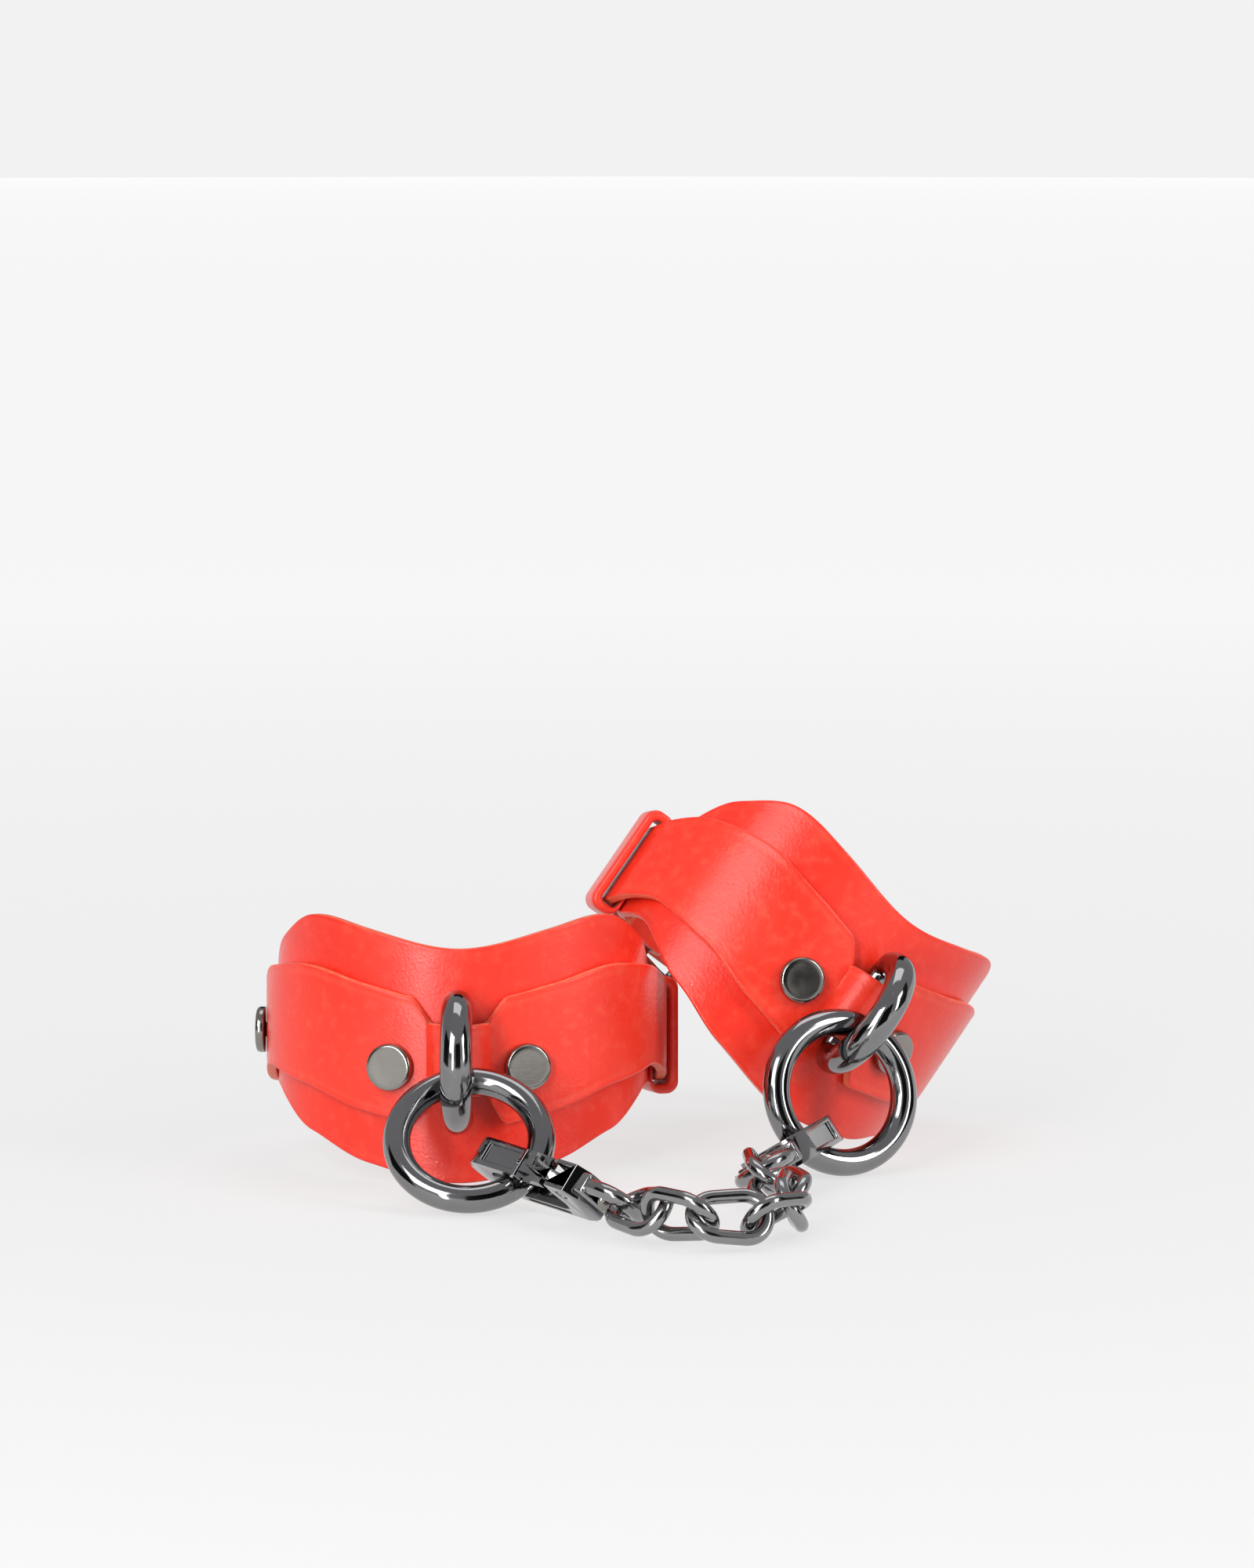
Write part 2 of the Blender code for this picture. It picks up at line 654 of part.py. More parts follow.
def gate(prefix, frame):
    """The lever: a thin web beside the spring, with a full-width tip and thumb paddle."""
    x, y = PIVOT
    web = arc(x, y, 2.6, 200, 330, 6)
    web += [(13.0, 4.6), (20.5, 4.6), (20.5, 6.8), (14.2, 6.8), (13.4, 10.9), (11.6, 10.9), (11.2, 7.2)]
    web += arc(x, y, 2.6, 70, 180, 5)
    obj = body_part(prefix + "_gate", plate_mesh(web, -1.8, 0.5), GUNMETAL, frame, (*PIVOT, 0.0))
    add_cutter(plate_mesh([(12.9, 4.65), (20.45, 4.65), (20.45, 6.75), (12.9, 6.75)], -3.05, 3.05),
               obj, "UNION")
    add_cutter(plate_mesh([(11.7, 9.4), (13.9, 9.4), (13.7, 11.6), (11.9, 11.6)], -1.6, 1.6),
               obj, "UNION")
    add_cutter(cylinder_mesh(PIN_RADIUS + GAP, (*PIVOT, -6), (*PIVOT, 6), 14), obj)
    return obj


def gate_pin(prefix, frame):
    mesh = cylinder_mesh(PIN_RADIUS, (*PIVOT, -3.05), (*PIVOT, 3.05), 14)
    return body_part(prefix + "_gate_pin", mesh, RIVET_METAL, frame, (*PIVOT, 0.0))


def gate_spring(prefix, frame):
    """A torsion spring on the pin, beside the gate's web."""
    x, y = PIVOT
    points = [(x + 4.3, y - 2.35, 0.95)]
    turns = 1.75
    count = 18
    for i in range(count + 1):
        a = math.radians(-90 - 360 * turns * i / count)
        points.append((x + 1.75 * math.cos(a), y + 1.75 * math.sin(a), 0.95 + 0.85 * i / count))
    mesh = wire_mesh(points, 0.2, resolution=2)
    return body_part(prefix + "_gate_spring", mesh, SPRING_STEEL, frame, (*PIVOT, 0.0))


def swivel_post(prefix, frame):
    """Held in the body's end; its domed head keeps the eye on."""
    turn = Matrix.Rotation(math.radians(-90), 4, "Y")
    profile = [(0.0, 4.85), (1.2, 4.7), (2.1, 4.2), (2.5, 3.3), (2.5, 3.15), (POST_RADIUS, 3.15),
               (POST_RADIUS, -2.3), (0.0, -2.3)]
    return turned_object(prefix + "_swivel_post", profile, RIVET_METAL, frame @ turn, steps=14)


def swivel_eye(prefix, frame):
    points = [(-2.2, -EYE_HALF)] + arc(-EYE_REACH, 0.0, EYE_HALF, -90, -270, 10) + [(-2.2, EYE_HALF)]
    mesh = wire_mesh([(x, y, 0.0) for x, y in points], EYE_WIRE, resolution=2)
    obj = body_part(prefix + "_eye", mesh, GUNMETAL, frame)
    add_cutter(box_mesh((-2.85, -EYE_HALF - 1.5, -2.3), (-0.3, EYE_HALF + 1.5, 2.3)), obj, "UNION")
    add_cutter(cylinder_mesh(POST_RADIUS + GAP, (-4, 0, 0), (1, 0, 0), 14), obj)
    return obj


def snap_hook(prefix, frame):
    hook_body(prefix, frame)
    gate(prefix, frame)
    gate_pin(prefix, frame)
    gate_spring(prefix, frame)
    collar = frame @ Matrix.Translation((COLLAR_X, 0.0, 0.0))
    swivel_post(prefix, collar)
    swivel_eye(prefix, collar)


# ---------------------------------------------------------------- chain

def link_mesh():
    """One twisted curb link, lying along x, its wire's centre line a rounded oblong."""
    half = LINK_PITCH / 2 + LINK_WIRE + LINK_SLACK
    straight = half - LINK_HALF_WIDTH
    flat = arc(straight, 0.0, LINK_HALF_WIDTH, -90, 90, 6)
    flat += arc(-straight, 0.0, LINK_HALF_WIDTH, 90, 270, 6)
    points = []
    for x, y in flat:
        turn = math.radians(LINK_TWIST) * x / (2 * half)
        points.append((x, y * math.cos(turn), y * math.sin(turn)))
    return wire_mesh(points, LINK_WIRE, cyclic=True, resolution=2)


def chain_vertices(start, end):
    """Where each link meets the next: on a bend that opens away from the viewer."""
    points = [Vector(start)]
    for heading, height in zip(LINK_HEADINGS, LINK_HEIGHTS):
        climb = height - points[-1].z
        level = math.sqrt(LINK_PITCH ** 2 - climb ** 2)
        a = math.radians(heading)
        points.append(points[-1] + Vector((math.cos(a) * level, math.sin(a) * level, climb)))
    gap = end - points[-1]
    bow = math.sqrt(max(0.0, LINK_PITCH ** 2 - gap.length_squared / 4))
    aside = gap.cross(Vector((0, 0, 1))).normalized()
    tilt = Matrix.Rotation(math.radians(-LAST_BEND_TILT), 3, gap)
    points.append(points[-1] + gap / 2 + tilt @ aside * bow)
    points.append(end)
    return points


def chain(start, end):
    points = chain_vertices(start, end)
    for i, roll in enumerate(LINK_ROLLS):
        a, b = points[i], points[i + 1]
        along = (b - a).normalized()
        side = Vector((0, 0, 1)).cross(along).normalized()
        up = along.cross(side)
        frame = Matrix((along, side, up)).transposed().to_4x4()
        frame.translation = (a + b) / 2
        frame = frame @ Matrix.Rotation(math.radians(roll), 4, "X")
        body_part("chain_link_%d" % (i + 1), link_mesh(), GUNMETAL, frame,
                  (-LINK_PITCH / 2, 0.0, 0.0))
    return points


# ---------------------------------------------------------------- where everything is

def left_cuff_frame():
    lean = Matrix.Rotation(math.radians(-LEFT_LEAN), 4, "X")
    return Matrix.Translation(LEFT_CENTRE) @ lean


def right_cuff_frame():
    axis = Vector(RIGHT_AXIS).normalized()
    front = Vector(RIGHT_FRONT)
    front = (front - axis * front.dot(axis)).normalized()
    frame = Matrix((axis.cross(front), -front, axis)).transposed().to_4x4()
    frame.translation = Vector(RIGHT_CENTRE)
    return frame


def d_frame(cuff, swing):
    """Origin on the bar's axis: y runs into the cuff, z along the bar."""
    bar_out = GAP + BAR_RADIUS
    at = Matrix.Translation((0.0, -FRONT_DEPTH - bar_out, D_RAISED))
    return cuff @ at @ Matrix.Rotation(math.radians(swing), 4, "Z")


def o_frame(d_place, contact, level, turn):
    """Origin in the O-ring's wire where it crosses the D-ring; leant until it meets the floor."""
    bar_out = GAP + BAR_RADIUS
    point = d_place @ Vector((0.0, bar_out - contact[0], contact[1]))
    x = Vector(level).normalized()
    z = Vector((0, 0, 1))
    at = Matrix((x, z.cross(x), z)).transposed().to_4x4()
    at.translation = point
    slide = Matrix.Rotation(math.radians(-turn), 4, "Y")
    tenths = 0
    place = at @ slide
    while ring_low(place) < O_WIRE + 0.05 and tenths < 900:
        tenths += 1
        place = at @ Matrix.Rotation(math.radians(-tenths / 10), 4, "X") @ slide
    return place


def ring_low(place):
    centre = place @ Vector((0, 0, -O_RADIUS))
    normal = place.to_3x3() @ Vector((0, 1, 0))
    return centre.z - O_RADIUS * math.sqrt(max(0.0, 1 - normal.z ** 2))


def ring_point(place, degrees):
    """The wire's centre and direction, counted round the ring from its lowest point in space."""
    centre = place @ Vector((0, 0, -O_RADIUS))
    normal = (place.to_3x3() @ Vector((0, 1, 0))).normalized()
    down = Vector((0, 0, -1)) - normal * (-normal.z)
    down.normalize()
    across = normal.cross(down)
    if across.x < 0:
        across.negate()
    a = math.radians(degrees)
    point = centre + (down * math.cos(a) + across * math.sin(a)) * O_RADIUS
    along = across * math.cos(a) - down * math.sin(a)
    return point, along


def hook_frame(ring, degrees, direction, roll):
    """The hook's frame: x towards the nose; roll tips its flat side from level to the wire's."""
    point, along = ring_point(ring, degrees)
    x = Vector(direction).normalized()
    level = Vector((0, 0, 1)) - x * x.z
    level.normalize()
    wire = along - x * along.dot(x)
    wire.normalize()
    if wire.z < 0:
        wire.negate()
    angle = level.angle(wire)
    z = level.slerp(wire, min(1.0, math.radians(roll) / max(angle, 1e-6)))
    y = z.cross(x)
    frame = Matrix((x, y, z)).transposed().to_4x4()
    frame.translation = point - x * JAW_WIRE_X
    return frame


def cuff(prefix, side, frame):
    base_band(prefix, side, frame)
    strap(prefix, side, frame)
    outer = GAP + STRAP_THICKNESS
    for label, s in (("front_rivet_a", -RIVET_AT), ("front_rivet_b", RIVET_AT)):
        rivet("%s_%s" % (prefix, label), frame, s, 0.0, -BASE_THICKNESS, outer)
    s = -side * SIDE_RIVET_AT
    rivet(prefix + "_side_rivet", frame, s, rise(s), -BASE_THICKNESS, outer)
    rivet(prefix + "_fold_rivet", frame, side * FOLD_RIVET_AT, BELT_RISE, -BASE_THICKNESS, outer,
          (3.3, 0.85))
    keeper(prefix, side, frame)
    buckle(prefix, side, frame)


def main():
    left = left_cuff_frame()
    right = right_cuff_frame()
    cuff("left", 1, left)
    cuff("right", -1, right)
    left_d = d_frame(left, LEFT_D_SWING)
    right_d = d_frame(right, RIGHT_D_SWING)
    left_o = o_frame(left_d, LEFT_CONTACT, LEFT_RING_WIRE, LEFT_RING_TURN)
    right_o = o_frame(right_d, RIGHT_CONTACT, RIGHT_RING_WIRE, RIGHT_RING_TURN)
    d_ring("left", left_d)
    d_ring("right", right_d)
    o_ring("left", left_o)
    o_ring("right", right_o)
    left_hook = hook_frame(left_o, LEFT_HOOK_ON_RING, LEFT_HOOK_DIRECTION, LEFT_HOOK_ROLL)
    right_hook = hook_frame(right_o, RIGHT_HOOK_ON_RING, RIGHT_HOOK_DIRECTION, RIGHT_HOOK_ROLL)
    snap_hook("left_hook", left_hook)
    snap_hook("right_hook", right_hook)
    start = left_hook @ Vector((COLLAR_X - EYE_REACH - EYE_HALF + EYE_WIRE + 0.1, 0, 0))
    end = right_hook @ Vector((COLLAR_X - EYE_REACH - EYE_HALF + EYE_WIRE + 0.1, 0, 0))
    points = chain(start, end)
    return {"left": left, "right": right, "left_d": left_d, "right_d": right_d, "left_o": left_o,
            "right_o": right_o, "left_hook": left_hook, "right_hook": right_hook,
            "chain": points, "chain_end": end}


clear_scene()
PARTS = collection("wrist_cuff_pair")
CUTTERS = collection("cutters")
SHIFT = Matrix.Translation(-Vector(ORIGIN))
FRAMES = main()
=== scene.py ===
import math
from bisect import bisect_left

import bmesh
import bpy
from mathutils import Matrix, Vector
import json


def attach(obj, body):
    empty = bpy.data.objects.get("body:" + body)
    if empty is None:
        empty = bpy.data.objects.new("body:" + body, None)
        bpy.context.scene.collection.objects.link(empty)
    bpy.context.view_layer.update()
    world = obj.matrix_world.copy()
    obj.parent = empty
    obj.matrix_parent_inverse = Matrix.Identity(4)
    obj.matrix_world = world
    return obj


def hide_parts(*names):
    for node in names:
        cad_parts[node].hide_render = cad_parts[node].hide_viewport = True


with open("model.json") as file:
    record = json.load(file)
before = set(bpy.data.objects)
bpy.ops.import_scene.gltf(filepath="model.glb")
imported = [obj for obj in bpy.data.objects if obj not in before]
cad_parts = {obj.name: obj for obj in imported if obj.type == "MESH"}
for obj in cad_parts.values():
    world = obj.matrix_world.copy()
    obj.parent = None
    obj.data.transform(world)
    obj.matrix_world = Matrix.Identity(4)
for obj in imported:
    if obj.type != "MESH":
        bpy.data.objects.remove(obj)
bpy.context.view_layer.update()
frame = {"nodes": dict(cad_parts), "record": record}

MM = 0.001
GAP = 0.3
ORIGIN = (35.4, 12.1, -0.3)
SHIFT = Matrix.Translation(-Vector(ORIGIN))
NODE_BODY = {node: body for body, nodes in frame["record"]["behaviour"]["bodies"].items()
             for node in nodes}

# ---------------------------------------------------------------- sizes, as in the CAD, in mm

HALF_WIDTH = 39.3
FRONT_DEPTH = 33.0
BACK_DEPTH = 28.0
BASE_THICKNESS = 2.2
STRAP_THICKNESS = 2.2
BELT_HALF = 9.6
BELT_RISE = 2.6
KEEPER_AT = 64.0
BASE_END = 76.0
FOLD_START = 78.5
FOLD_RIVET_AT = 84.0
HEEL_BAR_AT = 93.0
FRONT_BAR_AT = 110.0
SIDE_RIVET_AT = 58.0
BASE_TAIL_END = 105.0
TAIL_TIP_AT = 73.0
KEEPER_WALL = 2.0
KEEPER_ROOM = 1.0
KEEPER_RAISED = 0.35
KEEPER_IN = 0.35
KEEPER_OUT = 6.9
KEEPER_THIN = 0.6
KEEPER_ROUND = 2.6
KEEPER_INNER_ROUND = 1.2
BUCKLE_HALF = 12.2
BUCKLE_RADIUS = 1.4
BUCKLE_CORNER = 3.0
HEEL_BAR_RADIUS = 1.08
HEEL_BAR_OUT = 0.15
HEEL_CORNER = 1.2
FRONT_BAR_RISE = 4.15
PRONG_LOOP = 1.95
PRONG_HALF = 0.54
PRONG_SLOT = (-3.6, 9.0, 1.9, -6.0, 3.95, 0.3)      # as slot_block's arguments, from the heel bar
TAIL_HOLE_RADIUS = 1.6
TAIL_HOLE_DEPTH = (3.5, 8.5)
TAIL_HOLES = ((84.5, 88.5), (92.8, 103.8))
RIVET_AT = 13.5
BIG_CAP = (4.9, 1.9)      # radius and height
SMALL_CAP = (3.3, 0.85)
BAR_RADIUS = 2.4
BOW_RADIUS = 3.3
D_HALF = 11.65
D_REACH = 5.8
O_RADIUS = 14.8
O_WIRE = 2.9
COLLAR_X = 3.0
JAW_WIRE_X = 25.5
PIVOT = (8.4, 3.6)
PIN_RADIUS = 1.1
EYE_REACH = 6.0
EYE_HALF = 5.2
EYE_WIRE = 1.6
POST_RADIUS = 1.5
LINK_WIRE = 1.5
WIRE_EASE = 0.06         # how much thinner O-rings and links are here, to stay clear at the limits
LINK_PITCH = 11.0
LINK_SLACK = 0.5
LINK_HALF_WIDTH = 4.7
LINK_TWIST = 26.0
LINK_HEADINGS = (-58.0, -35.0, 9.0, 51.0, 90.0)
LINK_HEIGHTS = (6.1, 6.6, 6.2, 6.6, 6.7)
LAST_BEND_TILT = 143.0
LINK_ROLLS = (36.0, -62.0, 48.0, -39.0, 70.0, -29.0, 50.0)
LEFT_CENTRE = (0.4, 35.2, 22.3)
LEFT_LEAN = 4.0
RIGHT_CENTRE = (66.6, 60.0, 32.6)
RIGHT_AXIS = (0.561, 0.235, 0.794)
RIGHT_FRONT = (0.455, -0.889, -0.050)
D_RAISED = 1.7
SIDES = {
    "left": {"side": 1, "swing": 0.0, "contact": (11.2, -3.8), "wire": (1.0, 0.0, 0.0),
             "turn": 10.5, "on_ring": 54.0, "direction": (-0.63, 0.775, 0.05), "roll": 38.0},
    "right": {"side": -1, "swing": -12.0, "contact": (11.2, -3.3), "wire": (0.906, 0.42, 0.0),
              "turn": -26.0, "on_ring": -44.0, "direction": (0.30, 0.95, -0.02), "roll": 32.0},
}


# ---------------------------------------------------------------- the oval plan

def oval_table(steps=720):
    """Points (length from the front, x, y) round a cuff, and the whole length."""
    rows = []
    length = 0.0
    previous = None
    for i in range(steps + 1):
        angle = -math.pi + 2 * math.pi * i / steps
        depth = FRONT_DEPTH if abs(angle) < math.pi / 2 else BACK_DEPTH
        x = HALF_WIDTH * math.sin(angle)
        y = -depth * math.cos(angle)
        if previous:
            length += math.hypot(x - previous[0], y - previous[1])
        previous = (x, y)
        rows.append((length, x, y))
    half = length / 2
    return [(s - half, x, y) for s, x, y in rows], length


OVAL, PERIMETER = oval_table()
OVAL_LENGTHS = [row[0] for row in OVAL]


def oval_xy(s):
    """The point that is s along the oval from the front, to the right if s is over 0."""
    s = (s + PERIMETER / 2) % PERIMETER - PERIMETER / 2
    i = min(max(bisect_left(OVAL_LENGTHS, s), 1), len(OVAL) - 1)
    s0, x0, y0 = OVAL[i - 1]
    s1, x1, y1 = OVAL[i]
    k = (s - s0) / (s1 - s0)
    return x0 + k * (x1 - x0), y0 + k * (y1 - y0)


def oval_direction(s):
    x0, y0 = oval_xy(s - 1.5)
    x1, y1 = oval_xy(s + 1.5)
    return Vector((x1 - x0, y1 - y0, 0.0)).normalized()


def on_cuff(s, out, z):
    """A point in the cuff's frame: s round it, out from the oval, z up."""
    x, y = oval_xy(s)
    along = oval_direction(s)
    return Vector((x + along.y * out, y - along.x * out, z))


def cuff_frame(side, s, out, z):
    """A frame on the cuff whose x runs round it, away from the front, and whose y points out."""
    along = oval_direction(side * s) * side
    outward = oval_direction(side * s)
    outward = Vector((outward.y, -outward.x, 0.0))
    across = along.cross(outward)
    place = Matrix((along, outward, across)).transposed().to_4x4()
    place.translation = on_cuff(side * s, out, z)
    return place


def smooth(s, knots):
    """A smooth curve through (distance, value) knots, level wherever the values turn."""
    xs = [k[0] for k in knots]
    ys = [k[1] for k in knots]
    s = min(max(s, xs[0]), xs[-1])
    i = min(max(bisect_left(xs, s), 1), len(xs) - 1)
    slopes = [(ys[j + 1] - ys[j]) / (xs[j + 1] - xs[j]) for j in range(len(xs) - 1)]

    def tangent(j):
        if j == 0 or j == len(xs) - 1:
            return 0.0
        a, b = slopes[j - 1], slopes[j]
        return 0.0 if a * b <= 0 else 2 * a * b / (a + b)

    h = xs[i] - xs[i - 1]
    t = (s - xs[i - 1]) / h
    return ((2 * t**3 - 3 * t**2 + 1) * ys[i - 1] + (t**3 - 2 * t**2 + t) * h * tangent(i - 1)
            + (-2 * t**3 + 3 * t**2) * ys[i] + (t**3 - t**2) * h * tangent(i))


RISE = [(0, 0), (20, 3.9), (35, 8.0), (48, 8.6), (64, BELT_RISE), (112, BELT_RISE)]
BASE_HALF = [(0, 24.4), (20, 24.4), (35, 22.7), (46, 17.5), (60, 10.8), (68, BELT_HALF - 0.4),
             (112, BELT_HALF - 0.4)]
STRAP_HALF = [(0, 7.4), (4.6, 7.4), (10.0, 13.2), (20, 13.2), (35, 12.4), (50, 10.4),
              (62, BELT_HALF), (112, BELT_HALF)]


def rise(s):
    return smooth(abs(s), RISE)


def strap_out(s):
    """How far out the strap's inner face is: over the D-ring's bar, and over the keeper."""
    bulge = (2 * BAR_RADIUS + GAP) * math.exp(-((abs(s) / 4.0) ** 4))
    keeper = smooth(s, [(48, 0), (58, 1.6), (70, 1.6), (77, 0)])
    return GAP + bulge + keeper


def tail_out(s):
    """The same for the tail, from where it lies on the strap to where it meets the base."""
    over = STRAP_THICKNESS + 2 * GAP
    return smooth(s, [(70, over), (77, over), (81, 4.15), (93, 4.2), (97.5, 3.6), (107, GAP),
                      (130, GAP)])


def tip(s, tail_end):
    """The tail's width as a share of the strap's: its end is rounded."""
    left = tail_end + s
    return 1.0 if left > 9 else math.sqrt(max(0.12, 1 - ((9 - left) / 9) ** 2 * 0.88))


# ---------------------------------------------------------------- where everything is

def left_cuff_frame():
    return Matrix.Translation(LEFT_CENTRE) @ Matrix.Rotation(math.radians(-LEFT_LEAN), 4, "X")


def right_cuff_frame():
    axis = Vector(RIGHT_AXIS).normalized()
    front = Vector(RIGHT_FRONT)
    front = (front - axis * front.dot(axis)).normalized()
    place = Matrix((axis.cross(front), -front, axis)).transposed().to_4x4()
    place.translation = Vector(RIGHT_CENTRE)
    return place


def d_frame(cuff, swing):
    at = Matrix.Translation((0.0, -FRONT_DEPTH - GAP - BAR_RADIUS, D_RAISED))
    return cuff @ at @ Matrix.Rotation(math.radians(swing), 4, "Z")


def ring_low(place):
    """The height of the lowest point of an O-ring's centre line."""
    centre = place @ Vector((0, 0, -O_RADIUS))
    normal = place.to_3x3() @ Vector((0, 1, 0))
    return centre.z - O_RADIUS * math.sqrt(max(0.0, 1 - normal.z ** 2))


def o_frame(d_place, contact, level, turn):
    """Hangs an O-ring at a point of the D-ring and leans it until it rests on the floor."""
    point = d_place @ Vector((0.0, GAP + BAR_RADIUS - contact[0], contact[1]))
    x = Vector(level).normalized()
    z = Vector((0, 0, 1))
    at = Matrix((x, z.cross(x), z)).transposed().to_4x4()
    at.translation = point
    slide = Matrix.Rotation(math.radians(-turn), 4, "Y")
    tenths = 0
    place = at @ slide
    while ring_low(place) < O_WIRE + 0.05 and tenths < 900:
        tenths += 1
        place = at @ Matrix.Rotation(math.radians(-tenths / 10), 4, "X") @ slide
    return place


def ring_point(place, degrees):
    """A point on the O-ring, measured from its lowest point, and the wire's direction there."""
    centre = place @ Vector((0, 0, -O_RADIUS))
    normal = (place.to_3x3() @ Vector((0, 1, 0))).normalized()
    down = Vector((0, 0, -1)) - normal * (-normal.z)
    down.normalize()
    across = normal.cross(down)
    if across.x < 0:
        across.negate()
    a = math.radians(degrees)
    point = centre + (down * math.cos(a) + across * math.sin(a)) * O_RADIUS
    return point, across * math.cos(a) - down * math.sin(a)


def hook_frame(ring, degrees, direction, roll):
    """Puts the hook's jaw round the O-ring's wire, with its length along direction."""
    point, along = ring_point(ring, degrees)
    x = Vector(direction).normalized()
    level = Vector((0, 0, 1)) - x * x.z
    level.normalize()
    wire = along - x * along.dot(x)
    wire.normalize()
    if wire.z < 0:
        wire.negate()
    angle = level.angle(wire)
    z = level.slerp(wire, min(1.0, math.radians(roll) / max(angle, 1e-6)))
    place = Matrix((x, z.cross(x), z)).transposed().to_4x4()
    place.translation = point - x * JAW_WIRE_X
    return place


def chain_vertices(start, end):
    """Where the links meet: set headings first, then one bend that closes the gap to the end."""
    points = [Vector(start)]
    for heading, height in zip(LINK_HEADINGS, LINK_HEIGHTS):
        climb = height - points[-1].z
        level = math.sqrt(LINK_PITCH ** 2 - climb ** 2)
        a = math.radians(heading)
        points.append(points[-1] + Vector((math.cos(a) * level, math.sin(a) * level, climb)))
    gap = end - points[-1]
    bow = math.sqrt(max(0.0, LINK_PITCH ** 2 - gap.length_squared / 4))
    aside = gap.cross(Vector((0, 0, 1))).normalized()
    tilt = Matrix.Rotation(math.radians(-LAST_BEND_TILT), 3, gap)
    points.append(points[-1] + gap / 2 + tilt @ aside * bow)
    points.append(end)
    return points


# ---------------------------------------------------------------- materials

class Nodes:
    """Short names for building one material's nodes."""

    def __init__(self, name):
        self.mat = bpy.data.materials.new(name)
        self.mat.use_nodes = True
        self.tree = self.mat.node_tree
        self.shader = self.tree.nodes["Principled BSDF"]
        self.coords = self.tree.nodes.new("ShaderNodeTexCoord").outputs["Object"]

    def link(self, a, b):
        self.tree.links.new(a, b)

    def node(self, kind, **inputs):
        made = self.tree.nodes.new(kind)
        for key, value in inputs.items():
            socket = made.inputs[key.replace("_", " ")]
            if isinstance(value, bpy.types.NodeSocket):
                self.link(value, socket)
            else:
                socket.default_value = value
        return made

    def noise(self, scale, detail=3.0, stretch=(1.0, 1.0, 1.0)):
        place = self.node("ShaderNodeMapping", Vector=self.coords, Scale=stretch)
        return self.node("ShaderNodeTexNoise", Vector=place.outputs["Vector"], Scale=scale,
                         Detail=detail).outputs["Fac"]

    def span(self, value, low, high, to_low, to_high):
        made = self.tree.nodes.new("ShaderNodeMapRange")
        made.clamp = True
        self.link(value, made.inputs["Value"])
        for socket, number in zip(("From Min", "From Max", "To Min", "To Max"),
                                  (low, high, to_low, to_high)):
            made.inputs[socket].default_value = number
        return made.outputs["Result"]

    def maths(self, operation, a, b):
        made = self.tree.nodes.new("ShaderNodeMath")
        made.operation = operation
        for socket, value in zip(made.inputs, (a, b)):
            if isinstance(value, bpy.types.NodeSocket):
                self.link(value, socket)
            else:
                socket.default_value = value
        return made.outputs["Value"]

    def mix(self, factor, a, b):
        made = self.tree.nodes.new("ShaderNodeMix")
        made.data_type = "RGBA"
        for name, value in (("Factor_Float", factor), ("A_Color", a), ("B_Color", b)):
            socket = next(s for s in made.inputs if s.identifier == name)
            if isinstance(value, bpy.types.NodeSocket):
                self.link(value, socket)
            else:
                socket.default_value = value if name == "Factor_Float" else (*value, 1.0)
        return next(s for s in made.outputs if s.identifier == "Result_Color")

    def attribute(self, name):
        made = self.tree.nodes.new("ShaderNodeAttribute")
        made.attribute_name = name
        return made.outputs["Fac"]

    def bump(self, height, strength, distance, normal=None):
        made = self.node("ShaderNodeBump", Height=height, Strength=strength, Distance=distance)
        if normal:
            self.link(normal, made.inputs["Normal"])
        return made.outputs["Normal"]


def leather(name, base, deep, bright, edge, flesh):
    n = Nodes(name)
    broad = n.noise(38.0, 3.0)
    fine = n.noise(420.0, 4.0)
    colour = n.mix(n.span(broad, 0.3, 0.7, 0.0, 1.0), deep, base)
    colour = n.mix(n.span(fine, 0.52, 0.75, 0.0, 0.35), colour, bright)
    pores = n.node("ShaderNodeTexVoronoi", Vector=n.coords, Scale=1500.0)
    cells = pores.outputs["Distance"]
    colour = n.mix(n.span(cells, 0.0, 0.18, 0.16, 0.0), colour, deep)
    # A burnished line a little in from the cut edge, then the raw edge itself.
    crease = n.attribute("crease")
    colour = n.mix(n.span(crease, 0.0, 1.0, 0.0, 0.25), colour, bright)
    rim = n.attribute("rim")
    ragged = n.maths("MULTIPLY", rim, n.span(n.noise(300.0), 0.3, 0.6, 0.72, 1.0))
    fibres = n.mix(n.span(n.noise(900.0, 5.0), 0.4, 0.65, 0.0, 1.0), edge, bright)
    colour = n.mix(n.span(ragged, 0.35, 0.9, 0.0, 0.85), colour, fibres)
    inner = n.attribute("inner")
    suede = n.mix(n.span(n.noise(700.0, 6.0), 0.35, 0.7, 0.15, 0.40), flesh, base)
    colour = n.mix(n.span(inner, 0.45, 0.9, 0.0, 1.0), colour, suede)
    n.link(colour, n.shader.inputs["Base Color"])
    rough = n.span(broad, 0.3, 0.7, 0.24, 0.36)
    rough = n.maths("ADD", rough, n.span(fine, 0.4, 0.7, 0.0, 0.08))
    rough = n.maths("ADD", rough, n.maths("MULTIPLY", inner, 0.35))
    rough = n.maths("ADD", rough, n.maths("MULTIPLY", rim, 0.2))
    n.link(rough, n.shader.inputs["Roughness"])
    wrinkle = n.noise(150.0, 2.0, (1.0, 1.0, 0.55))
    normal = n.bump(wrinkle, 0.20, 0.0005)
    normal = n.bump(fine, 0.16, 0.00010, normal)
    normal = n.bump(cells, 0.35, 0.00012, normal)
    n.link(normal, n.shader.inputs["Normal"])
    n.shader.inputs["Specular IOR Level"].default_value = 0.38
    n.shader.inputs["Coat Weight"].default_value = 0.22
    n.shader.inputs["Coat Roughness"].default_value = 0.24
    n.shader.inputs["Sheen Weight"].default_value = 0.02
    return n.mat


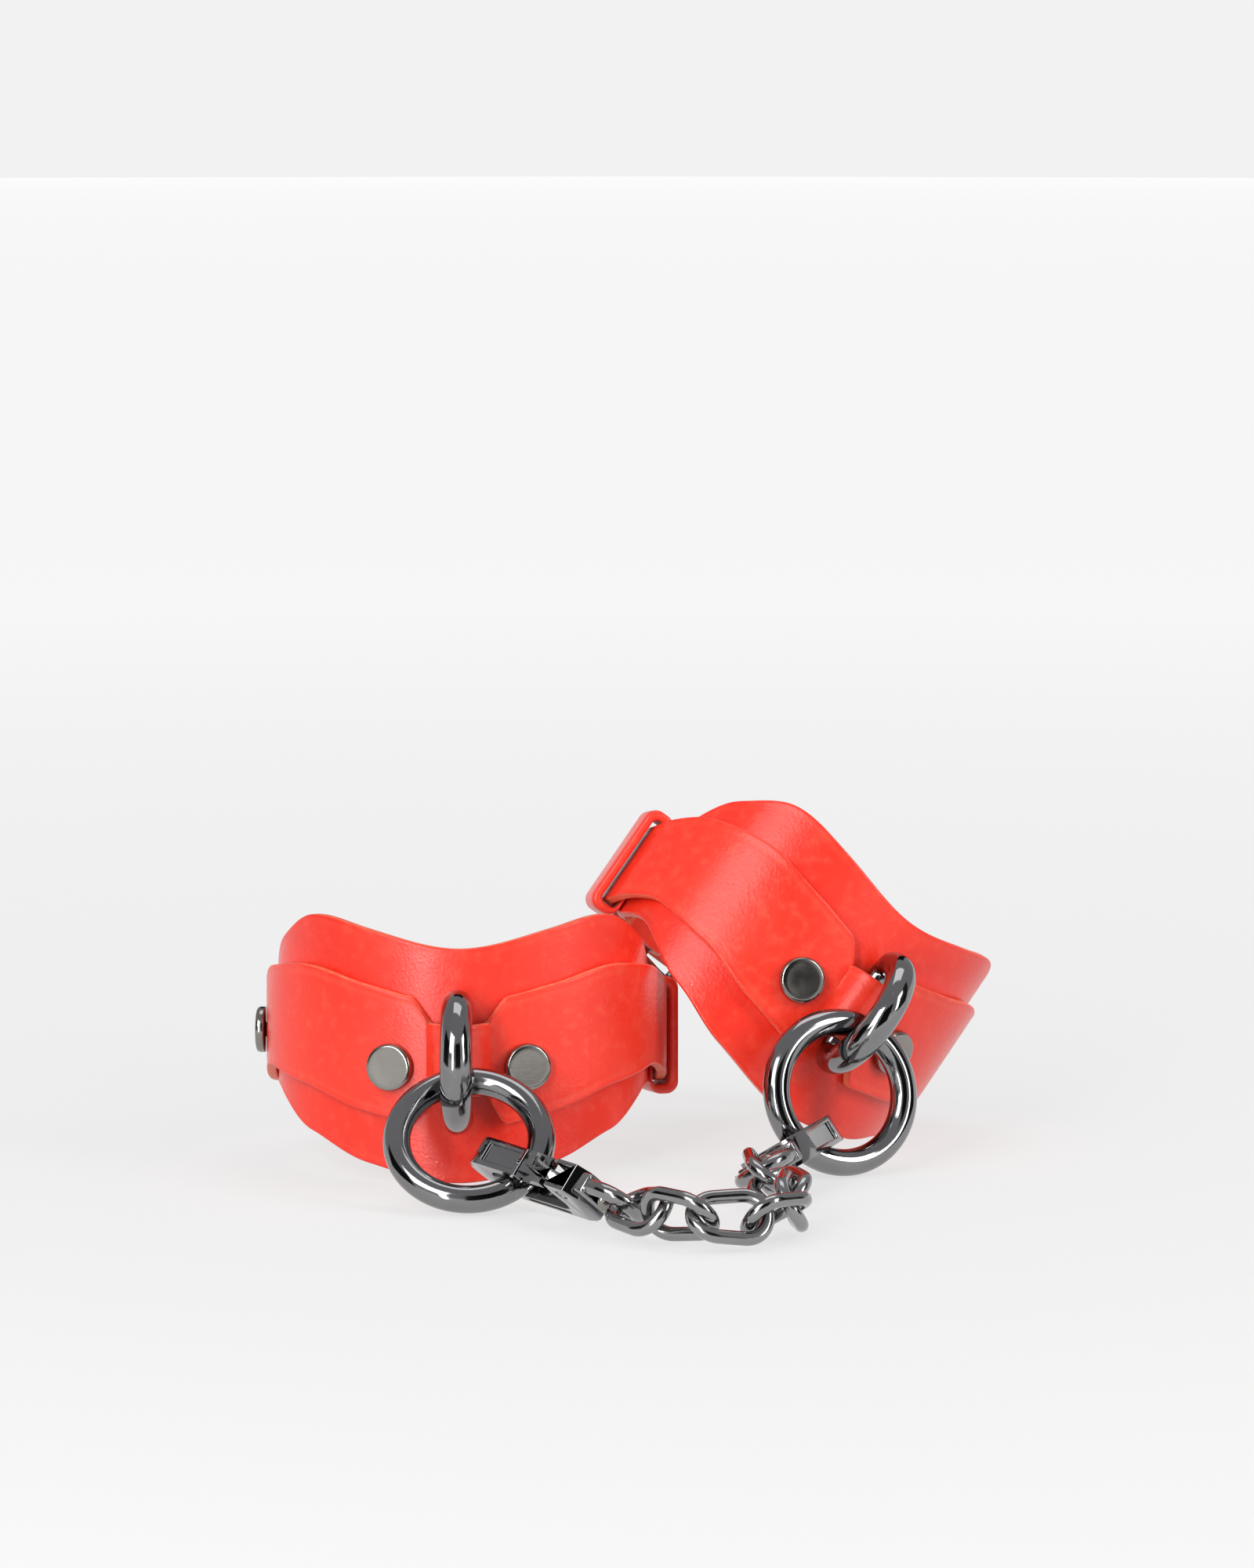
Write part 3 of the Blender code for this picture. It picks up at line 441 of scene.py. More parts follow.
def metal(name, base, worn, rough_low, rough_high, brushed=0.0):
    n = Nodes(name)
    cloud = n.noise(90.0, 3.0)
    colour = n.mix(n.span(cloud, 0.35, 0.65, 0.0, 1.0), base, tuple(c * 1.12 for c in base))
    geometry = n.tree.nodes.new("ShaderNodeNewGeometry")
    edges = n.span(geometry.outputs["Pointiness"], 0.53, 0.62, 0.0, 0.7)
    edges = n.maths("MULTIPLY", edges, n.span(n.noise(260.0), 0.4, 0.6, 0.3, 1.0))
    colour = n.mix(edges, colour, worn)
    specks = n.span(n.noise(1400.0, 2.0), 0.68, 0.76, 0.0, 0.5)
    colour = n.mix(specks, colour, worn)
    n.link(colour, n.shader.inputs["Base Color"])
    smudge = n.noise(140.0, 4.0)
    rough = n.span(smudge, 0.35, 0.7, rough_low, rough_high)
    n.link(rough, n.shader.inputs["Roughness"])
    scratches = n.noise(500.0, 4.0, (1.0, 1.0, 9.0))
    normal = n.bump(scratches, 0.10 + brushed, 0.00005)
    n.link(normal, n.shader.inputs["Normal"])
    n.shader.inputs["Metallic"].default_value = 1.0
    return n.mat


LEATHER = leather("leather_base", (0.93, 0.035, 0.014), (0.86, 0.026, 0.010), (0.98, 0.10, 0.045),
                  (0.84, 0.20, 0.10), (0.62, 0.10, 0.06))
STRAP_LEATHER = leather("leather_strap", (0.95, 0.043, 0.019), (0.89, 0.032, 0.013), (0.98, 0.12, 0.055),
                        (0.88, 0.28, 0.15), (0.62, 0.10, 0.06))
GUNMETAL = metal("gunmetal", (0.24, 0.24, 0.245), (0.42, 0.41, 0.40), 0.05, 0.12)
CHAIN_METAL = metal("gunmetal_chain", (0.28, 0.28, 0.282), (0.50, 0.49, 0.48), 0.10, 0.20)
RIVET_METAL = metal("rivet_metal", (0.27, 0.255, 0.235), (0.50, 0.48, 0.45), 0.10, 0.22, 0.05)
SPRING_STEEL = metal("spring_steel", (0.45, 0.45, 0.46), (0.7, 0.7, 0.7), 0.2, 0.3)


# ---------------------------------------------------------------- mesh tools

def add_piece(name, bm, node, material, place):
    """A finished piece, built in place's own mm, that stands for one CAD node."""
    mesh = bpy.data.meshes.new(name)
    bmesh.ops.recalc_face_normals(bm, faces=bm.faces)
    for face in bm.faces:
        face.smooth = True
    bm.to_mesh(mesh)
    bm.free()
    mesh.transform(Matrix.Scale(MM, 4) @ SHIFT @ place)
    mesh.materials.append(material)
    obj = bpy.data.objects.new(name, mesh)
    bpy.context.scene.collection.objects.link(obj)
    if node:
        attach(obj, NODE_BODY[node])
        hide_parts(node)
    return obj


def tube(points, radii, ref, cyclic=False, sides=20, cap=0.35):
    """A round wire through the points; its open ends are rounded off."""
    points = [Vector(p) for p in points]
    count = len(points)
    if not isinstance(radii, (list, tuple)):
        radii = [radii] * count
    rings = []
    for i, (point, radius) in enumerate(zip(points, radii)):
        before = points[i - 1] if cyclic or i else point
        after = points[(i + 1) % count] if cyclic or i < count - 1 else point
        along = (after - before).normalized()
        normal = (Vector(ref) - along * along.dot(Vector(ref))).normalized()
        side = along.cross(normal)
        if not cyclic and i == 0:
            rings.append((point, normal, side, radius * (1 - cap)))
            point = point + along * radius * cap
        if not cyclic and i == count - 1:
            rings.append((point - along * radius * cap, normal, side, radius))
            radius = radius * (1 - cap)
        rings.append((point, normal, side, radius))
    bm = bmesh.new()
    rows = []
    for point, normal, side, radius in rings:
        row = []
        for k in range(sides):
            a = 2 * math.pi * k / sides
            row.append(bm.verts.new(point + (normal * math.cos(a) + side * math.sin(a)) * radius))
        rows.append(row)
    join_rows(bm, rows, cyclic)
    return bm


def join_rows(bm, rows, cyclic):
    pairs = list(zip(rows, rows[1:]))
    if cyclic:
        pairs.append((rows[-1], rows[0]))
    for a, b in pairs:
        for k in range(len(a)):
            j = (k + 1) % len(a)
            bm.faces.new((a[k], a[j], b[j], b[k]))
    if not cyclic:
        bm.faces.new(rows[0][::-1])
        bm.faces.new(rows[-1])


def lathe(profile, steps=48):
    """A profile of (radius, height) pairs turned round z."""
    bm = bmesh.new()
    verts = [bm.verts.new((r, 0.0, z)) for r, z in profile]
    edges = [bm.edges.new((a, b)) for a, b in zip(verts, verts[1:])]
    bmesh.ops.spin(bm, geom=verts + edges, axis=(0, 0, 1), cent=(0, 0, 0), steps=steps,
                   angle=2 * math.pi, use_merge=True)
    bmesh.ops.remove_doubles(bm, verts=bm.verts, dist=0.0005)
    return bm


def arc(cx, cy, radius, start, end, steps):
    points = []
    for i in range(steps + 1):
        a = math.radians(start + (end - start) * i / steps)
        points.append((cx + radius * math.cos(a), cy + radius * math.sin(a)))
    return points


def axis_frame(point, direction):
    turn = Vector((0, 0, 1)).rotation_difference(Vector(direction)).to_matrix().to_4x4()
    return Matrix.Translation(point) @ turn


def spread(start, end, step):
    count = max(1, round(abs(end - start) / step))
    return [start + (end - start) * i / count for i in range(count)]


# ---------------------------------------------------------------- leather

EDGE_ROUND = 0.45
FACE_STEPS = 22
CREASE_IN = 1.7
CREASE_WIDTH = 0.35
SINK_WIDTH = 0.5
SINK_DEPTH = 0.06
END_ROWS = ((0.55, 0.45), (0.2, 0.12))      # a strip's end: inset of the cut, and how far back it is
STATION_STEP = 1.1
FINE_STEP = 0.45
FOLD_RADIUS = 1.45


def section(z0, z1, thickness, inset):
    """Points (out, z, rim, inner, crease) round a strip's cut, with softened corners."""
    z0, z1 = z0 + inset, z1 - inset
    low, high = inset, thickness - inset
    r = min(EDGE_ROUND, (high - low) / 2 - 0.02, (z1 - z0) / 2 - 0.02)
    points = []
    for k in range(FACE_STEPS + 1):
        u = k / FACE_STEPS
        u = 0.5 - 0.5 * math.cos(math.pi * u) if 0 < u < 1 else u
        z = z0 + r + (z1 - z0 - 2 * r) * u
        from_edge = min(z - z0, z1 - z)
        line = math.exp(-(((from_edge - CREASE_IN) / CREASE_WIDTH) ** 2))
        sink = SINK_DEPTH * math.exp(-(((from_edge - CREASE_IN) / SINK_WIDTH) ** 2))
        points.append((high - sink, z, 0.0, 0.0, line))
    for a in (30, 60, 90):
        a = math.radians(a)
        rim = math.sin(a) ** 2
        points.append((high - r + r * math.cos(a), z1 - r + r * math.sin(a), rim, 0.0, 0.0))
    for a in (0, 30, 60, 90):
        a = math.radians(a)
        rim, inner = math.cos(a), math.sin(a)
        points.append((low + r - r * inner, z1 - r + r * rim, rim, inner, 0.0))
    for k in range(1, 6):
        points.append((low, z1 - r - (z1 - z0 - 2 * r) * k / 6, 0.0, 1.0, 0.0))
    for a in (90, 60, 30, 0):
        a = math.radians(a)
        rim, inner = math.cos(a), math.sin(a)
        points.append((low + r - r * inner, z0 + r - r * rim, rim, inner, 0.0))
    for a in (90, 60, 30):
        a = math.radians(a)
        rim = math.sin(a) ** 2
        points.append((high - r + r * math.cos(a), z0 + r - r * math.sin(a), rim, 0.0, 0.0))
    return points


def strip(path, thickness):
    """A leather strip. path has (x, y, z0, z1) of its inner face, and out is to the right."""
    bm = bmesh.new()
    layers = {key: bm.verts.layers.float.new(key) for key in ("rim", "inner", "crease")}
    rows = []
    count = len(path)
    order = [(0, inset, back) for inset, back in END_ROWS]
    order += [(i, 0.0, None) for i in range(1, count - 1)]
    order += [(count - 1, inset, back) for inset, back in reversed(END_ROWS)]
    for i, inset, back in order:
        x, y, z0, z1 = path[i]
        ax, ay = path[max(i - 1, 0)][:2]
        bx, by = path[min(i + 1, count - 1)][:2]
        along = Vector((bx - ax, by - ay)).normalized()
        out = Vector((along.y, -along.x))
        if back is not None:
            step = (back - END_ROWS[0][1]) * (1 if i == 0 else -1)
            x -= along.x * step
            y -= along.y * step
        row = []
        for o, z, rim, inner, crease in section(z0, z1, thickness, inset):
            vert = bm.verts.new((x + out.x * o, y + out.y * o, z))
            vert[layers["rim"]] = 1.0 if back is not None else rim
            vert[layers["inner"]] = inner
            vert[layers["crease"]] = crease if back is None else 0.0
            row.append(vert)
        rows.append(row)
    join_rows(bm, rows, False)
    return bm


def base_band(prefix, side, cuff):
    ends = sorted((side * BASE_END, -side * BASE_TAIL_END))
    path = []
    for s in spread(ends[0], ends[1], STATION_STEP) + [ends[1]]:
        half = smooth(abs(s), BASE_HALF)
        point = on_cuff(s, -BASE_THICKNESS, 0.0)
        path.append((point.x, point.y, rise(s) - half, rise(s) + half))
    bm = strip(path, BASE_THICKNESS)
    add_piece(prefix + "_base_leather", bm, prefix + "_base_band", LEATHER, cuff)


def fold_profile():
    """The strap's inner face where it turns round the heel bar and runs back under itself."""
    points = []
    for angle in range(75, -91, -7):
        a = math.radians(angle)
        points.append((FOLD_RADIUS * math.cos(a), HEEL_BAR_OUT + FOLD_RADIUS * math.sin(a)))
    points += [(-2.2, -0.35), (-3.9, -0.15), (-5.5, -0.02), (-9.0, -0.02), (-12.0, -0.02),
               (FOLD_START - HEEL_BAR_AT, -0.02)]
    return points


def strap(prefix, side, cuff):
    tail_end = PERIMETER - TAIL_TIP_AT
    stops = (-tail_end, -62, -11, 11, FOLD_START, HEEL_BAR_AT)
    stations = []
    for start, end in zip(stops, stops[1:]):
        stations += spread(start, end, FINE_STEP if start == -11 else STATION_STEP)
    path = []
    for s in stations:
        back = PERIMETER + s
        out = tail_out(back) if s < -BASE_TAIL_END else strap_out(s)
        middle = rise(s) + D_RAISED * math.exp(-((s / 7.0) ** 4))
        half = smooth(abs(s), STRAP_HALF) * tip(s, tail_end)
        point = on_cuff(side * s, out, 0.0)
        path.append((point.x, point.y, middle - half, middle + half))
    for dx, out in fold_profile():
        point = on_cuff(side * (HEEL_BAR_AT + dx), out, 0.0)
        path.append((point.x, point.y, BELT_RISE - BELT_HALF, BELT_RISE + BELT_HALF))
    if side < 0:
        path.reverse()
    bm = strip(path, STRAP_THICKNESS)
    obj = add_piece(prefix + "_strap_leather", bm, prefix + "_strap", STRAP_LEATHER, cuff)
    heel = cuff @ cuff_frame(side, HEEL_BAR_AT, 0.0, BELT_RISE)
    cutters = [add_piece("slot_cutter", slot_block(*PRONG_SLOT), None, GUNMETAL, heel)]
    for start, end in TAIL_HOLES:
        block = slot_block(start - HEEL_BAR_AT, end - HEEL_BAR_AT, TAIL_HOLE_RADIUS,
                           *TAIL_HOLE_DEPTH, TAIL_HOLE_RADIUS)
        cutters.append(add_piece("hole_cutter", block, None, GUNMETAL, heel))
    for cutter in cutters:
        cut = obj.modifiers.new("cut", "BOOLEAN")
        cut.operation = "DIFFERENCE"
        cut.solver = "EXACT"
        cut.object = cutter
    bake_modifiers(obj)
    for cutter in cutters:
        bpy.data.objects.remove(cutter, do_unlink=True)


def bake_modifiers(obj):
    """Makes the modifiers' result the object's own mesh, so that what they used can go."""
    depsgraph = bpy.context.evaluated_depsgraph_get()
    mesh = bpy.data.meshes.new_from_object(obj.evaluated_get(depsgraph))
    obj.modifiers.clear()
    obj.data = mesh


def slot_block(x0, x1, radius, y0, y1, corner):
    """A round-ended block along x, from y0 to y1."""
    c = corner
    outline = (arc(x1 - c, radius - c, c, 0, 90, 8) + arc(x0 + c, radius - c, c, 90, 180, 8)
               + arc(x0 + c, c - radius, c, 180, 270, 8) + arc(x1 - c, c - radius, c, 270, 360, 8))
    bm = bmesh.new()
    rows = [[bm.verts.new((x, y, z)) for x, z in outline] for y in (y0, y1)]
    join_rows(bm, rows, False)
    bmesh.ops.remove_doubles(bm, verts=bm.verts, dist=0.0005)
    return bm


def keeper(prefix, side, cuff):
    """A closed loop of leather whose outside follows a rounded oblong."""
    place = cuff @ cuff_frame(side, KEEPER_AT, 0.0, BELT_RISE + KEEPER_RAISED)
    half = BELT_HALF + KEEPER_ROOM + KEEPER_WALL
    outer = loop_outline(KEEPER_IN, KEEPER_OUT, half, KEEPER_ROUND)
    inner = loop_outline(KEEPER_IN + KEEPER_THIN, KEEPER_OUT - KEEPER_WALL, half - KEEPER_WALL,
                         KEEPER_INNER_ROUND)
    bm = bmesh.new()
    layers = {key: bm.verts.layers.float.new(key) for key in ("rim", "inner", "crease")}
    rows = []
    for (oy, oz), (iy, iz) in zip(outer, inner):
        row = []
        for x, depth, rim, inside in KEEPER_SECTION:
            vert = bm.verts.new((x, oy + (iy - oy) * depth, oz + (iz - oz) * depth))
            vert[layers["rim"]] = rim
            vert[layers["inner"]] = inside
            vert[layers["crease"]] = 0.0
            row.append(vert)
        rows.append(row)
    join_rows(bm, rows, True)
    add_piece(prefix + "_keeper_leather", bm, prefix + "_keeper", STRAP_LEATHER, place)


# One half of the keeper's cut: place along the strap, depth into the wall, and how much is cut
# edge or inside. The other half mirrors it.
KEEPER_OUTSIDE = ((1.2, 0.0, 0.0, 0.0), (3.7, 0.0, 0.0, 0.0), (4.2, 0.07, 0.1, 0.0),
                  (4.48, 0.22, 0.3, 0.0), (4.6, 0.5, 0.4, 0.0), (4.48, 0.8, 0.3, 0.2),
                  (4.2, 0.95, 0.1, 0.5), (3.7, 1.0, 0.0, 1.0), (1.2, 1.0, 0.0, 1.0))
MIRRORED = [(-x, *rest) for x, *rest in reversed(KEEPER_OUTSIDE)]
KEEPER_SECTION = MIRRORED[-2:] + list(KEEPER_OUTSIDE) + MIRRORED[:-2]


def loop_outline(y0, y1, half, corner):
    """A rounded oblong of (y, z) points, from y0 to y1 and half to each side."""
    c = min(corner, (y1 - y0) / 2 - 0.05)
    corners = (arc(y1 - c, half - c, c, 0, 90, 10), arc(y0 + c, half - c, c, 90, 180, 10),
               arc(y0 + c, c - half, c, 180, 270, 10), arc(y1 - c, c - half, c, 270, 360, 10))
    points = []
    for i, bend in enumerate(corners):
        points += bend
        a, b = bend[-1], corners[(i + 1) % 4][0]
        for k in range(1, 8):
            points.append((a[0] + (b[0] - a[0]) * k / 8, a[1] + (b[1] - a[1]) * k / 8))
    return points


# ---------------------------------------------------------------- rivets, rings, buckles

CAP_PROFILE = ((0.0, 0.985), (0.35, 0.985), (0.70, 0.99), (0.84, 1.0), (0.89, 0.985), (0.94, 0.93),
               (0.975, 0.82), (0.995, 0.66), (1.0, 0.5), (1.0, 0.12), (0.98, 0.02), (0.93, 0.0))


def rivet(name, cuff, s, z, inner, outer, cap=BIG_CAP):
    radius, height = cap
    place = cuff @ axis_frame(on_cuff(s, 0, z), on_cuff(s, 1, z) - on_cuff(s, 0, z))
    top = outer + GAP
    profile = [(radius * r, top + height * h) for r, h in CAP_PROFILE]
    back = inner - GAP - 0.05
    profile += [(1.6, top), (1.6, back), (2.95, back), (3.1, back - 0.12), (3.1, back - 0.45),
                (2.8, back - 0.75), (2.4, back - 0.85), (0.0, back - 0.85)]
    add_piece(name + "_turned", lathe(profile), name, RIVET_METAL, place)


def d_ring(prefix, place):
    corner = 3.0
    points = [(0.0, z) for z in spread(-D_HALF + corner, D_HALF - corner, 0.9)]
    points += arc(corner, D_HALF - corner, corner, 180, 90, 10)
    points += spread_line((corner, D_HALF), (D_REACH, D_HALF), 3)
    points += arc(D_REACH, 0.0, D_HALF, 90, -90, 56)
    points += spread_line((D_REACH, -D_HALF), (corner, -D_HALF), 3)
    points += arc(corner, -D_HALF + corner, corner, -90, -180, 10)[:-1]
    thin = BAR_RADIUS / BOW_RADIUS
    radii = [BOW_RADIUS * (thin + (1 - thin) * min(1.0, max(0.0, smooth(y, [(0, 0), (4.5, 1.0)]))))
             for y, z in points]
    bm = tube([(0.0, -y, z) for y, z in points], radii, (1, 0, 0), True, 32)
    add_piece(prefix + "_d_ring_round", bm, prefix + "_d_ring", GUNMETAL, place)


def spread_line(a, b, count):
    """The points between a and b, without the ends."""
    return [(a[0] + (b[0] - a[0]) * k / count, a[1] + (b[1] - a[1]) * k / count)
            for k in range(1, count)]


def o_ring(prefix, place):
    points = []
    for i in range(128):
        a = 2 * math.pi * i / 128
        points.append((O_RADIUS * math.sin(a), 0.0, O_RADIUS * (math.cos(a) - 1)))
    bm = tube(points, O_WIRE - WIRE_EASE, (0, 1, 0), True, 32)
    add_piece(prefix + "_o_ring_round", bm, prefix + "_o_ring", GUNMETAL, place)


def buckle(prefix, side, cuff):
    place = cuff @ cuff_frame(side, HEEL_BAR_AT, HEEL_BAR_OUT, BELT_RISE)
    reach = Vector((FRONT_BAR_AT - HEEL_BAR_AT, FRONT_BAR_RISE))
    turn = Matrix.Rotation(math.atan2(reach.y, reach.x), 4, "Z")
    length = reach.length
    half, corner, heel = BUCKLE_HALF, BUCKLE_CORNER, HEEL_CORNER
    outline = [(0.0, z) for z in spread(-half + heel, half - heel, 1.2)]
    outline += arc(heel, half - heel, heel, 180, 90, 6)
    outline += spread_line((heel, half), (length - corner, half), 12)
    outline += arc(length - corner, half - corner, corner, 90, 0, 10)
    outline += spread_line((length, half - corner), (length, corner - half), 14)
    outline += arc(length - corner, -half + corner, corner, 0, -90, 10)
    outline += spread_line((length - corner, -half), (heel, -half), 12)
    outline += arc(heel, -half + heel, heel, 270, 180, 6)[:-1]
    radii = [HEEL_BAR_RADIUS if x < 0.1 else BUCKLE_RADIUS for x, z in outline]
    bm = tube([(x, 0.0, z) for x, z in outline], radii, (0, 1, 0), True, 24)
    add_piece(prefix + "_buckle_round", bm, prefix + "_buckle_frame", GUNMETAL, place @ turn)
    knots = [(0.35, 2.02), (1.0, 2.1), (5.0, 4.9), (length - 4.0, 6.9), (length + 0.5, 6.85),
             (length + 2.2, 6.3)]
    points = [(x, smooth(x, knots), 0.0) for x in [knots[0][0]] + spread(0.9, length + 2.2, 0.8)]
    loop = [(x, y, 0.0) for x, y in arc(0, 0, PRONG_LOOP, 88, -268, 28)]
    bm = tube(loop[::-1] + points, PRONG_HALF, (0, 0, 1), False, 14)
    widen_prong(bm, length)
    add_piece(prefix + "_prong_round", bm, prefix + "_prong", GUNMETAL, place)


def widen_prong(bm, length):
    """The prong is a flat bar, wider across than it is thick, narrowing to its tip."""
    for vert in bm.verts:
        wide = 2.2 if vert.co.x < 4 else 1.7
        if vert.co.x > length - 2:
            wide = 1.35
        vert.co.z *= wide


# ---------------------------------------------------------------- hooks and chain

SHARP_ANGLE = 32
COIL_RADIUS = 1.75
COIL_TURNS = 1.75
COIL_STEPS = 90
COIL_LOW = 0.95
COIL_RISE = 0.85
COIL_WIRE = 0.2
BLOCK_LOW = (-2.85, -EYE_HALF - 1.5, -2.2)
BLOCK_HIGH = (-0.35, EYE_HALF + 1.5, 2.2)
ARM_END = -1.9


def soften(node, width, material):
    """Rounds a kept CAD node's edges and smooths its curved sides."""
    obj = frame["nodes"][node]
    obj.data.materials.clear()
    obj.data.materials.append(material)
    for face in obj.data.polygons:
        face.use_smooth = True
    weld = obj.modifiers.new("weld", "WELD")
    weld.merge_threshold = 0.000002
    flat = obj.modifiers.new("flat", "DECIMATE")
    flat.decimate_type = "DISSOLVE"
    flat.angle_limit = math.radians(0.5)
    bevel = obj.modifiers.new("rounded_edges", "BEVEL")
    bevel.width = width * MM
    bevel.segments = 3
    bevel.limit_method = "ANGLE"
    bevel.angle_limit = math.radians(SHARP_ANGLE)
    bevel.harden_normals = True


def snap_hook(prefix, place):
    name = prefix + "_hook"
    soften(name + "_body", 0.38, GUNMETAL)
    soften(name + "_gate", 0.22, GUNMETAL)
    x, y = PIVOT
    head = [(0.0, 3.05), (0.85, 3.03), (1.0, 2.95), (PIN_RADIUS, 2.8)]
    pin = head + [(r, -z) for r, z in reversed(head)]
    add_piece(name + "_pin_turned", lathe(pin, 32), name + "_gate_pin", RIVET_METAL,
              place @ Matrix.Translation((x, y, 0)))
    coil = [(x + 4.3, y - 2.35, COIL_LOW)]
    for i in range(COIL_STEPS + 1):
        a = math.radians(-90 - 360 * COIL_TURNS * i / COIL_STEPS)
        coil.append((x + COIL_RADIUS * math.cos(a), y + COIL_RADIUS * math.sin(a),
                     COIL_LOW + COIL_RISE * i / COIL_STEPS))
    add_piece(name + "_spring_wire", tube(coil, COIL_WIRE, (0, 0, 1), False, 10), name + "_gate_spring",
              SPRING_STEEL, place)
    collar = place @ Matrix.Translation((COLLAR_X, 0.0, 0.0))
    post = [(0.0, 4.85), (0.6, 4.82), (1.2, 4.7), (1.7, 4.48), (2.1, 4.2), (2.38, 3.8), (2.5, 3.45),
            (2.45, 3.2), (2.3, 3.15), (POST_RADIUS, 3.15), (POST_RADIUS, -2.3), (0.0, -2.3)]
    add_piece(name + "_post_turned", lathe(post, 40), name + "_swivel_post", RIVET_METAL,
              collar @ Matrix.Rotation(math.radians(-90), 4, "Y"))
    swivel_eye(name, collar)


def swivel_eye(name, collar):
    """The bent wire and, in the same piece, the block that turns on the post."""
    points = spread_line((ARM_END, -EYE_HALF), (-EYE_REACH, -EYE_HALF), 6)
    points += arc(-EYE_REACH, 0.0, EYE_HALF, -90, -270, 40)
    points += spread_line((-EYE_REACH, EYE_HALF), (ARM_END, EYE_HALF), 6)
    bm = tube([(x, y, 0.0) for x, y in points], EYE_WIRE, (0, 0, 1), False, 24)
    obj = add_piece(name + "_eye_bent", bm, name + "_eye", CHAIN_METAL, collar)
    block = rounded_block(BLOCK_LOW, BLOCK_HIGH, 0.55)
    block_obj = add_piece("eye_block", block, None, CHAIN_METAL, collar)
    hole = lathe([(0.0, 6.0), (POST_RADIUS + GAP, 6.0), (POST_RADIUS + GAP, -3.0), (0.0, -3.0)], 32)
    hole_obj = add_piece("eye_hole", hole, None, CHAIN_METAL,
                         collar @ Matrix.Rotation(math.radians(-90), 4, "Y"))
    for other, operation in ((block_obj, "UNION"), (hole_obj, "DIFFERENCE")):
        cut = obj.modifiers.new("join", "BOOLEAN")
        cut.operation = operation
        cut.solver = "EXACT"
        cut.object = other
    bake_modifiers(obj)
    for other in (block_obj, hole_obj):
        bpy.data.objects.remove(other, do_unlink=True)


def rounded_block(low, high, radius):
    bm = bmesh.new()
    bmesh.ops.create_cube(bm, size=1.0)
    low, high = Vector(low), Vector(high)
    bmesh.ops.scale(bm, vec=high - low, verts=bm.verts)
    bmesh.ops.translate(bm, vec=(high + low) / 2, verts=bm.verts)
    bmesh.ops.bevel(bm, geom=bm.edges[:], offset=radius, segments=4, profile=0.5, affect="EDGES")
    return bm


def chain(start, end):
    half = LINK_PITCH / 2 + LINK_WIRE + LINK_SLACK
    straight = half - LINK_HALF_WIDTH
    flat = arc(straight, 0.0, LINK_HALF_WIDTH, -90, 90, 28)
    flat += spread_line((straight, LINK_HALF_WIDTH), (-straight, LINK_HALF_WIDTH), 8)
    flat += arc(-straight, 0.0, LINK_HALF_WIDTH, 90, 270, 28)
    flat += spread_line((-straight, -LINK_HALF_WIDTH), (straight, -LINK_HALF_WIDTH), 8)
    path = []
    for x, y in flat:
        turn = math.radians(LINK_TWIST) * x / (2 * half)
        path.append((x, y * math.cos(turn), y * math.sin(turn)))
    points = chain_vertices(start, end)
    for i, roll in enumerate(LINK_ROLLS):
        a, b = points[i], points[i + 1]
        along = (b - a).normalized()
        side = Vector((0, 0, 1)).cross(along).normalized()
        place = Matrix((along, side, along.cross(side))).transposed().to_4x4()
        place.translation = (a + b) / 2
        place = place @ Matrix.Rotation(math.radians(roll), 4, "X")
        bm = tube(path, LINK_WIRE - WIRE_EASE, (0, 0, 1), True, 20)
        node = "chain_link_%d" % (i + 1)
        add_piece(node + "_round", bm, node, CHAIN_METAL, place)


def cuff(prefix, side, place):
    base_band(prefix, side, place)
    strap(prefix, side, place)
    outer = GAP + STRAP_THICKNESS
    rivet(prefix + "_front_rivet_a", place, -RIVET_AT, 0.0, -BASE_THICKNESS, outer)
    rivet(prefix + "_front_rivet_b", place, RIVET_AT, 0.0, -BASE_THICKNESS, outer)
    s = -side * SIDE_RIVET_AT
    rivet(prefix + "_side_rivet", place, s, rise(s), -BASE_THICKNESS, outer)
    rivet(prefix + "_fold_rivet", place, side * FOLD_RIVET_AT, BELT_RISE, -BASE_THICKNESS, outer,
          SMALL_CAP)
    keeper(prefix, side, place)
    buckle(prefix, side, place)


EYE_END = Vector((COLLAR_X - EYE_REACH - EYE_HALF + EYE_WIRE + 0.1, 0, 0))
chain_ends = []
for prefix, cuff_place in (("left", left_cuff_frame()), ("right", right_cuff_frame())):
    how = SIDES[prefix]
    cuff(prefix, how["side"], cuff_place)
    d_place = d_frame(cuff_place, how["swing"])
    o_place = o_frame(d_place, how["contact"], how["wire"], how["turn"])
    d_ring(prefix, d_place)
    o_ring(prefix, o_place)
    hook_place = hook_frame(o_place, how["on_ring"], how["direction"], how["roll"])
    snap_hook(prefix, hook_place)
    chain_ends.append(hook_place @ EYE_END)
chain(*chain_ends)


# ---------------------------------------------------------------- floor, light, camera

FLOOR_REACH = 12
WALL_RADIUS = 11.9
WALL_HEIGHT = 2.6
WALL_SIDES = 24
CARD_DISTANCE = 0.9
FLOOR_GLOW = (0.665, 0.81)      # near the object and far from it
GLOW_REACH = (0.15, 1.3)        # metres from the middle between which it changes


def stage_material(name, colour, glow):
    """A matt colour that also glows, so that the floor and walls come out evenly pale."""
    n = Nodes(name)
    tint = n.mix(n.span(n.noise(2.0), 0.3, 0.7, 0.0, 1.0), colour, tuple(c * 0.995 for c in colour))
    n.link(tint, n.shader.inputs["Base Color"])
    n.shader.inputs["Roughness"].default_value = 0.9
    n.shader.inputs["Specular IOR Level"].default_value = 0.1
    n.shader.inputs["Emission Color"].default_value = (1.0, 1.0, 1.0, 1.0)
    n.shader.inputs["Emission Strength"].default_value = glow
    return n.mat


